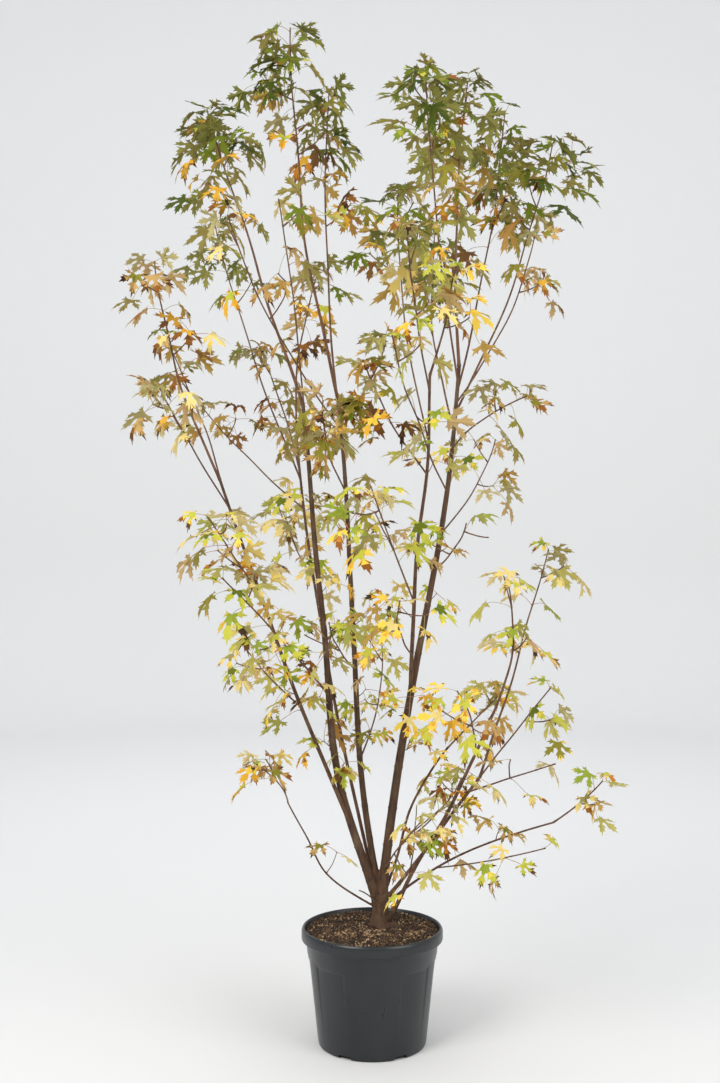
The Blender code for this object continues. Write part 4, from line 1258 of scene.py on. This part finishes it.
    @staticmethod
    def paint(tint: Tint, dry: float, rule: Rule) -> list[list[Tint]]:
        """Deals out the tints within one leaf.

        Args:
            tint: Its main tint.
            dry: How far it has withered, 0 to 1.
            rule: Random generator.

        Returns:
            For each of the five lobes, the tints from its base to its tip.
        """
        heart = rule.choice(HEARTS.get(tint, (tint,)))
        rim = rule.choice(RIMS.get(tint, (tint,)))
        lobes = []
        for _ in range(5):
            ranks = [heart, tint, tint, tint]
            if rule.random() < 0.15 + dry:
                ranks[3] = rule.choice((Tint.SCORCH, Tint.BROWN, Tint.RUST))
            elif rule.random() < 0.5:
                ranks[3] = rim
            if rule.random() < 0.45 * dry + 0.15:
                ranks[2] = ranks[3]
            if rule.random() < 0.12 + 0.25 * dry:
                ranks[1] = rim
            lobes.append(ranks)
        return lobes


# ---------------------------------------------------------------- wood


@dataclass
class Stems:
    """The long tapering stems with bark relief, each over its own solid."""

    sides: int = 20
    slim_sides: int = 14
    thick_girth: float = 0.02
    step: float = 0.012
    ridge: float = 0.05
    first_joint: float = 0.17
    joint_gap: float = 0.135
    swelling: float = 0.11
    swelling_reach: float = 0.0032
    collar: float = 0.45
    collar_reach: float = 0.014
    limbs: dict[str, Limb] = field(default_factory=dict)

    def __post_init__(self) -> None:
        """Works out every stem's axis."""
        for stem in STEMS:
            foot = Vector(stem.start) if stem.parent == "stool" else self.limbs[stem.parent].point(stem.start[0])
            self.limbs[stem.name] = Limb(stem.name, foot, Vector(stem.tip), Vector((*stem.bow, 0.0)), stem.sway,
                                         stem.girth[0] / 2.0, stem.girth[1] / 2.0)

    def grow(self, stem: Stem) -> Thing:
        """One stem: a tube with yearly rings, joints and long shallow ridges.

        Args:
            stem: The stem's sizes.

        Returns:
            The new object.
        """
        limb = self.limbs[stem.name]
        if stem.parent != "stool":
            limb = limb.leaving(self.limbs[stem.parent], stem.start[0])
        long = limb.length()
        rule = seeded("joints", stem.name)
        joints = []
        reach = self.first_joint + rule.uniform(0.0, 0.05)
        while reach < long:
            joints.append(reach)
            reach += self.joint_gap * rule.uniform(0.7, 1.35)
        count = round(long / self.step)
        shares = sorted({index / count for index in range(count + 1)}
                        | {min(1.0, (joint + off) / long) for joint in joints for off in (-0.003, 0.0, 0.003)})
        sides = self.sides if stem.girth[0] > self.thick_girth else self.slim_sides
        heap = Heap()
        heap.tube([limb.curve(share) for share in shares], [limb.radius(share) for share in shares], sides)
        for index, share in enumerate(shares):
            centre, radius = limb.curve(share), limb.radius(share)
            swell = sum(math.exp(-(((share * long - joint) / self.swelling_reach) ** 2)) for joint in joints)
            collar = self.collar * math.exp(-share * long / self.collar_reach) if stem.parent != "stool" else 0.0
            for corner in range(index * sides, (index + 1) * sides):
                out = heap.corners[corner] - centre
                grain = out / radius * 2.2 + Vector((0.0, 0.0, share * long * 9.0)) + limb.foot * 31.0
                ridge = noise.fractal(grain, 0.9, 2.1, 3) * self.ridge
                heap.corners[corner] = centre + out * (1.0 + self.swelling * swell + collar + ridge)
        return heap.object(f"{stem.name}_stem_bark")

    def build(self, bark: Sequence[Finish]) -> None:
        """Grows and dresses all stems.

        Args:
            bark: Bark of the thick and of the slim stems.
        """
        for stem in STEMS:
            finish = bark[stem.girth[0] <= self.thick_girth]
            piece(self.grow(stem), (f"{stem.name}_stem",), (finish,), 80.0)


@dataclass
class Stool:
    """The short trunk: a flared foot, the feet of the stems grown into it, and two dead stubs."""

    limbs: dict[str, Limb]
    x: float = 0.031
    soil_top: float = 0.3920
    base_radius: float = 0.046
    neck_radius: float = 0.0265
    neck_height: float = 0.062
    top_height: float = 0.108
    flare_height: float = 0.02
    heel: float = 0.006
    widening: float = 0.004
    lean: float = -0.007
    lobes: int = 4
    lobe_depth: float = 0.007
    cell: float = 0.0021
    ridge: float = 0.003
    ridge_cell: float = 0.011
    sides: int = 56
    buried: float = 0.05
    stubs: tuple[tuple[Triple, Triple, float], ...] = (((0.022, -0.018, 0.462), (-0.045, -0.050, 0.523), 0.0030),
                                                       ((0.125, -0.055, 0.560), (0.150, -0.075, 0.815), 0.0026))

    def core(self) -> Thing:
        """The flared and lobed post, extruded ring by ring from a disc.

        Returns:
            The new object.
        """
        heights = [0.0, 0.004, 0.010, 0.018, 0.028, 0.042, self.neck_height, 0.085, self.top_height]
        made = turned("root_flare", [(1.0, height) for height in heights], self.sides)
        for corner in made.data.vertices:
            height = corner.co.z
            angle = math.atan2(corner.co.y, corner.co.x)
            share = height / self.top_height
            flare = math.exp(-height / self.flare_height)
            radius = self.neck_radius + (self.base_radius - self.neck_radius) * flare
            radius += self.widening * max(0.0, share - 0.6) / 0.4
            radius += flare * (self.lobe_depth * math.cos(self.lobes * angle) + self.heel * math.cos(angle))
            corner.co = (self.x + self.lean * share + radius * math.cos(angle), radius * math.sin(angle),
                         self.soil_top + height)
        return made

    def build(self, bark: Finish) -> None:
        """Grows the stems' feet into the post, gives it relief and adds the stubs.

        Args:
            bark: The old bark.
        """
        core = self.core()
        feet = Heap()
        for stem in STEMS:
            if stem.parent == "stool":
                limb = self.limbs[stem.name]
                reach = (stem.collar + self.buried) / limb.length()
                shares = [reach * index / 12 for index in range(13)]
                radii = [limb.radius(share) * (1.0 + 0.30 * (1.0 - share / reach) - 0.03) for share in shares]
                feet.tube([limb.curve(share) for share in shares], radii, 16)
        pick(core, feet.object("stem_feet"))
        bpy.ops.object.join()
        apply_modifier(core, "REMESH", mode="VOXEL", voxel_size=self.cell)
        apply_modifier(core, "SMOOTH", factor=0.5, iterations=5)
        ridges = bpy.data.textures.new("bark_ridges", "CLOUDS")
        ridges.noise_scale, ridges.noise_depth = self.ridge_cell, 3
        apply_modifier(core, "DISPLACE", texture=ridges, strength=self.ridge, texture_coords="LOCAL", mid_level=0.5)
        piece(core, ("trunk",), (bark,), 80.0)
        stubs = Heap()
        for foot, tip, thick in self.stubs:
            bow = Vector((0.004, 0.0, 0.006))
            stubs.branch(Limb(f"stub{foot[0]}", Vector(foot), Vector(tip), bow, 0.0, thick, thick * 0.6), 9, 0.010,
                         (0.45, 0.8))
        piece(stubs.object("dead_stubs"), ("trunk",), (bark,), 60.0)


# ---------------------------------------------------------------- pot and soil


@dataclass
class NurseryPot:
    """Round pot with a rolled lip, a plain collar, sunk side panels and drain notches."""

    sides: int = 288
    height: float = 0.3895
    base_radius: float = 0.1837
    wall_top_radius: float = 0.2263
    lip_radius: float = 0.2424
    lip_height: float = 0.040
    lip_inner_radius: float = 0.2310
    wall: float = 0.0035
    floor: float = 0.005
    panel_angles: tuple[float, ...] = (42.0, 90.0, 138.0, 222.0, 270.0, 318.0)
    panel_half_deg: float = 17.0
    panel_foot: float = 0.075
    panel_top: float = 0.290
    panel_depth: float = 0.0026
    panel_slope: float = 0.005
    edge_deg: float = 1.6
    notch_angles: tuple[float, ...] = (30.0, 90.0, 150.0, 210.0, 270.0, 330.0)
    notch_width: float = 0.045
    notch_height: float = 0.012
    notch_depth: float = 0.026
    notch_round: float = 0.004
    edge_round: float = 0.0007
    edge_angle: float = 32.0

    def wall_radius(self, height: float) -> float:
        """Outer radius of the tapered wall at a height."""
        return self.base_radius + (self.wall_top_radius - self.base_radius) * height / (self.height - self.lip_height)

    def shell(self) -> Thing:
        """The turned shell, from the foot's edge over the lip to the inner floor.

        Returns:
            The new object.
        """
        foot, lip, top = self.wall_radius, self.height - self.lip_height, self.height
        inner = self.base_radius - self.wall
        profile = [(self.base_radius - 0.0060, 0.0), (self.base_radius - 0.0025, 0.0008),
                   (self.base_radius - 0.0006, 0.0026), (self.base_radius, 0.0052), (foot(0.02) + 0.0002, 0.020),
                   *((foot(height), height) for height in (0.050, self.panel_foot, 0.11, 0.15, 0.19, 0.23, 0.26, 0.275,
                                                           0.285, 0.2875, self.panel_top)),
                   (foot(0.302), 0.302), (foot(0.3050) + 0.0013, 0.3050),
                   (self.wall_top_radius + 0.0008, lip), (self.lip_radius - 0.0045, lip - 0.0004),
                   (self.lip_radius - 0.0012, lip + 0.0014), (self.lip_radius, lip + 0.0050),
                   (self.lip_radius, top - 0.0120), (self.lip_radius - 0.0014, top - 0.0060),
                   (self.lip_radius - 0.0042, top - 0.0014), (self.lip_radius - 0.0070, top),
                   (self.lip_inner_radius + 0.0018, top - 0.0006), (self.lip_inner_radius, top - 0.0036),
                   (self.wall_top_radius - self.wall, lip), (inner, self.floor)]
        return turned("nursery_pot", profile, self.sides)

    def sink_panels(self, pot: Thing) -> None:
        """Presses the side panels into the wall: each fades out downwards and has soft slanted edges.

        Args:
            pot: The turned shell.
        """
        for corner in pot.data.vertices:
            radius, height = math.hypot(corner.co.x, corner.co.y), corner.co.z
            if abs(radius - self.wall_radius(height)) > 0.0012 or not self.panel_foot < height < self.panel_top + 0.001:
                continue
            rise = min(1.0, (height - self.panel_foot) / (self.panel_top - self.panel_foot) + 0.25)
            rise *= min(1.0, max(0.0, (self.panel_top - height) / self.panel_slope))
            angle = math.degrees(math.atan2(corner.co.x, -corner.co.y))
            depth = 0.0
            for middle in self.panel_angles:
                off = abs((angle - middle + 180.0) % 360.0 - 180.0)
                inside = (self.panel_half_deg - off) / self.edge_deg
                depth = max(depth, min(1.0, max(0.0, inside)))
            shrink = 1.0 - self.panel_depth * rise * depth / radius
            corner.co = (corner.co.x * shrink, corner.co.y * shrink, height)

    def notch(self, angle: float) -> Thing:
        """The tool that cuts one drain notch through the foot's edge.

        Args:
            angle: Its angle round the pot in degrees, from the front.

        Returns:
            The new object.
        """
        deselect()
        bpy.ops.mesh.primitive_cube_add(size=1.0, location=(0.0, -self.base_radius, 0.0))
        made = bpy.context.object
        bpy.ops.object.mode_set(mode="EDIT")
        bpy.ops.transform.resize(value=(self.notch_width, self.notch_depth, self.notch_height * 2.0))
        bpy.ops.mesh.select_all(action="DESELECT")
        skin = bmesh.from_edit_mesh(made.data)
        for edge in skin.edges:
            edge.select = abs(edge.verts[0].co.y - edge.verts[1].co.y) > self.notch_depth / 2.0
        bmesh.update_edit_mesh(made.data)
        bpy.ops.mesh.bevel(offset=self.notch_round, segments=3)
        bpy.ops.object.mode_set(mode="OBJECT")
        bpy.ops.object.transform_apply(location=True, rotation=True, scale=True)
        for corner in made.data.vertices:
            corner.co = Matrix.Rotation(math.radians(angle), 3, "Z") @ corner.co
        return made

    def build(self, finish: Finish) -> None:
        """Turns, cuts, softens and dresses the pot.

        Args:
            finish: The moulded plastic.
        """
        pot = self.shell()
        self.sink_panels(pot)
        for angle in self.notch_angles:
            tool = self.notch(angle)
            apply_modifier(pot, "BOOLEAN", operation="DIFFERENCE", object=tool, solver="EXACT")
            bpy.data.objects.remove(tool)
        apply_modifier(pot, "WELD", merge_threshold=0.00005)
        apply_modifier(pot, "BEVEL", width=self.edge_round, segments=2, limit_method="ANGLE",
                       angle_limit=math.radians(self.edge_angle))
        piece(pot, ("pot",), (finish,), 30.0)


@dataclass(frozen=True)
class Mound:
    """A smooth round rise: its middle, how far it reaches and its height."""

    x: float
    y: float
    reach: float
    height: float

    def at(self, x: float, y: float) -> float:
        """Its height at a place."""
        return self.height * math.exp(-(((x - self.x) / self.reach) ** 2) - (((y - self.y) / self.reach) ** 2))


@dataclass
class PottingSoil:
    """Soil with a low crown and one hump, broken by crumbs and a drift of bark chips."""

    inner_radius: float = 0.2262
    top: float = 0.3920
    edge: float = 0.3790
    flat_radius: float = 0.075
    rings: int = 34
    skirt: float = 0.012
    lump: float = 0.0035
    lumps_per_metre: float = 38.0
    hump: Mound = Mound(-0.055, 0.135, 0.05, 0.012)
    rim_fade: float = 0.02
    sunk: float = 0.001
    crumbs: int = 5200
    grain: tuple[float, float] = (0.0012, 0.0048)
    chip: tuple[float, float] = (0.0020, 0.0064)
    drift: Mound = Mound(0.0, -0.10, 0.07, 0.9)
    trunk: Triple = (0.031, 0.0, 0.052)

    def height(self, x: float, y: float) -> float:
        """Height of the soil's surface.

        Args:
            x: Place across.
            y: Place away from the front.

        Returns:
            The height.
        """
        radius = math.hypot(x, y)
        share = min(1.0, max(0.0, (radius - self.flat_radius) / (self.inner_radius - self.flat_radius)))
        level = self.top + (self.edge - self.top) * (1.0 - math.cos(math.pi * share)) / 2.0
        rise = noise.fractal(Vector((x, y, 0.0)) * self.lumps_per_metre, 0.8, 2.1, 4) * self.lump
        rise += self.hump.at(x, y)
        return level + rise * min(1.0, (self.inner_radius - radius) / self.rim_fade) - self.sunk

    def bed(self) -> Thing:
        """The soil's body: a finely divided disc, lumped, with its wall and flat underside.

        Returns:
            The new object.
        """
        made = disc("potting_soil", self.inner_radius, 96)
        for _ in range(1, self.rings):
            bpy.ops.mesh.inset(thickness=self.inner_radius / self.rings, depth=0.0)
        bpy.ops.object.mode_set(mode="OBJECT")
        for corner in made.data.vertices:
            corner.co.z = self.height(corner.co.x, corner.co.y)
        pick(made)
        bpy.ops.object.mode_set(mode="EDIT")
        bpy.ops.mesh.select_all(action="DESELECT")
        bpy.ops.mesh.select_non_manifold()
        bpy.ops.mesh.extrude_region_move(TRANSFORM_OT_translate={"value": (0.0, 0.0, -self.skirt)})
        bpy.ops.mesh.edge_face_add()
        finish_shell()
        return made

    def crumb(self, heap: Heap, rule: Rule) -> None:
        """Adds one crumb: a rough six-sided grain, or a flat chip of bark.

        Args:
            heap: Where its faces go.
            rule: Random generator.
        """
        turn, radius = rule.uniform(0.0, math.tau), self.inner_radius * 0.985 * math.sqrt(rule.random())
        x, y = radius * math.cos(turn), radius * math.sin(turn)
        if math.hypot(x - self.trunk[0], y - self.trunk[1]) < self.trunk[2]:
            return
        heaped = noise.noise(Vector((x, y, 0.3)) * 17.0) + self.drift.at(x, y)
        chip = rule.random() < max(0.04, 0.06 + 0.85 * heaped)
        size = rule.uniform(*(self.chip if chip else self.grain))
        sizes = Vector((size, size * rule.uniform(0.35, 0.8), size * (0.22 if chip else 0.7)))
        turned_by = Matrix.Rotation(rule.uniform(0, math.tau), 3, "Z") @ Matrix.Rotation(rule.gauss(0.0, 0.45), 3, "X")
        turned_by = turned_by @ Matrix.Rotation(rule.gauss(0.0, 0.35), 3, "Y")
        centre = Vector((x, y, self.height(x, y) + size * 0.25))
        corners = []
        for level in (-1.0, 1.0):
            for corner in range(5):
                angle = math.tau * (corner + rule.uniform(-0.25, 0.25)) / 5
                reach = rule.uniform(0.75, 1.1) * (1.0 if level < 0 else 0.82)
                corners.append(centre + turned_by @ Vector((sizes.x * reach * math.cos(angle),
                                                             sizes.y * reach * math.sin(angle), sizes.z * level)))
        faces = [(4, 3, 2, 1, 0), (5, 6, 7, 8, 9)]
        faces += [(side, (side + 1) % 5, 5 + (side + 1) % 5, 5 + side) for side in range(5)]
        heap.add(corners, faces, rule.choice((1, 2, 2, 3)) if chip else rule.choice((0, 0, 0, 0, 1, 3)))

    def build(self, soil: Finish, grains: Sequence[Finish]) -> None:
        """Lays the bed and strews it.

        Args:
            soil: Finish of the bed.
            grains: Finishes of the crumbs, dark to light.
        """
        piece(self.bed(), ("soil",), (soil,), 50.0)
        rule = seeded("crumbs")
        heap = Heap()
        for _ in range(self.crumbs):
            self.crumb(heap, rule)
        piece(heap.object("soil_crumbs"), ("soil",), grains)


# ---------------------------------------------------------------- room


@dataclass(frozen=True)
class Lamp:
    """A square soft light: its place, what it points at, its side in metres, watts and colour."""

    name: str
    place: Triple
    aim: Triple
    size: float
    power: float
    colour: Triple

    def hang(self) -> None:
        """Adds the light to the scene."""
        deselect()
        bpy.ops.object.light_add(type="AREA", location=self.place)
        made = bpy.context.object
        made.name = self.name
        made.data.size, made.data.energy, made.data.color = self.size, self.power, self.colour
        made.rotation_euler = (Vector(self.aim) - Vector(self.place)).to_track_quat("-Z", "Y").to_euler()


@dataclass
class Studio:
    """Pale floor that curves up all round into a wall, soft lights and the camera."""

    camera_place: Triple = (-0.0417, -4.0638, 1.5516)
    pitch: float = 0.039
    lens: float = 38.87
    sensor: float = 36.0
    radius: float = 11.0
    curve: float = 2.0
    floor: float = -0.0005
    wall_top: float = 10.5
    sides: int = 96
    steps: int = 12
    air: tuple[float, ...] = (0.93, 0.95, 1.0, 1.0)
    air_strength: float = 0.9
    lamps: tuple[Lamp, ...] = (
        Lamp("key_left", (-3.2, -3.8, 4.6), (0.0, 0.0, 1.7), 2.6, 190.0, (1.0, 0.98, 0.94)),
        Lamp("fill_right", (3.6, -3.2, 3.4), (0.0, 0.0, 1.6), 3.0, 95.0, (1.0, 0.99, 0.97)),
        Lamp("back_wash", (0.0, 3.0, 6.5), (0.0, 11.0, 3.0), 4.0, 120.0, EVEN))

    def bowl(self, finish: Finish) -> None:
        """Lays the round floor and curves its rim up into the wall.

        Args:
            finish: Finish of both.
        """
        flat = self.radius - self.curve
        made = disc("pale_floor", flat, self.sides)
        made.location.z = self.floor
        bpy.ops.mesh.select_mode(type="EDGE")
        bpy.ops.mesh.region_to_loop()
        for step in range(1, self.steps + 1):
            turn = math.pi / 2.0 * step / self.steps
            ring_up(flat + self.curve * math.sin(turn), self.curve * (1.0 - math.cos(turn)))
        ring_up(self.radius, self.wall_top)
        bpy.ops.mesh.select_mode(type="VERT")
        finish_shell(inside=True)
        made.data.materials.append(finish)
        pick(made)
        bpy.ops.object.shade_smooth_by_angle(angle=math.radians(30.0))

    def build(self) -> None:
        """Sets up the room."""
        floor = Sheet("pale_cloth", 0.9)
        floor.paint(linear(234, 234, 233))
        floor.relief(floor.grain(3.0), 0.05, 0.01)
        self.bowl(floor.material)
        bpy.context.scene.view_settings.view_transform = "Standard"
        world = bpy.data.worlds.new("studio_air")
        bpy.context.scene.world = world
        world.use_nodes = True
        background = world.node_tree.nodes["Background"].inputs
        background["Color"].default_value, background["Strength"].default_value = self.air, self.air_strength
        for lamp in self.lamps:
            lamp.hang()
        deselect()
        bpy.ops.object.camera_add(location=self.camera_place, rotation=(math.pi / 2.0 + self.pitch, 0.0, 0.0))
        camera = bpy.context.object
        camera.data.lens, camera.data.sensor_width, camera.data.sensor_fit = self.lens, self.sensor, "AUTO"
        bpy.context.scene.camera = camera


def main() -> None:
    """Builds and dresses the plant, its pot and the room, in order."""
    logging.basicConfig(level=logging.INFO, format="%(message)s")
    Studio().build()
    old_bark = BarkFinish("old_bark", linear(50, 31, 18), linear(94, 65, 41), linear(126, 104, 80)).material()
    slim_bark = BarkFinish("slim_bark", linear(60, 37, 26), linear(106, 72, 47), linear(124, 102, 80), 0.0006)
    NurseryPot().build(MouldedFinish("charcoal_plastic", linear(22, 26, 29), linear(34, 38, 41)).material())
    soil, *crumbs = [SoilFinish(name, linear(*dark), linear(*light)).material() for name, dark, light in (
        ("damp_soil", (32, 24, 17), (72, 55, 40)), ("dark_crumb", (38, 28, 20), (66, 50, 36)),
        ("brown_crumb", (86, 66, 46), (118, 92, 64)), ("tan_chip", (168, 138, 100), (214, 184, 144)),
        ("red_chip", (106, 78, 54), (142, 108, 76)))]
    PottingSoil().build(soil, crumbs)
    stems = Stems()
    Stool(stems.limbs).build(old_bark)
    stems.build((old_bark, slim_bark.material()))
    Foliage(stems.limbs).build()


if __name__ == "__main__":
    main()
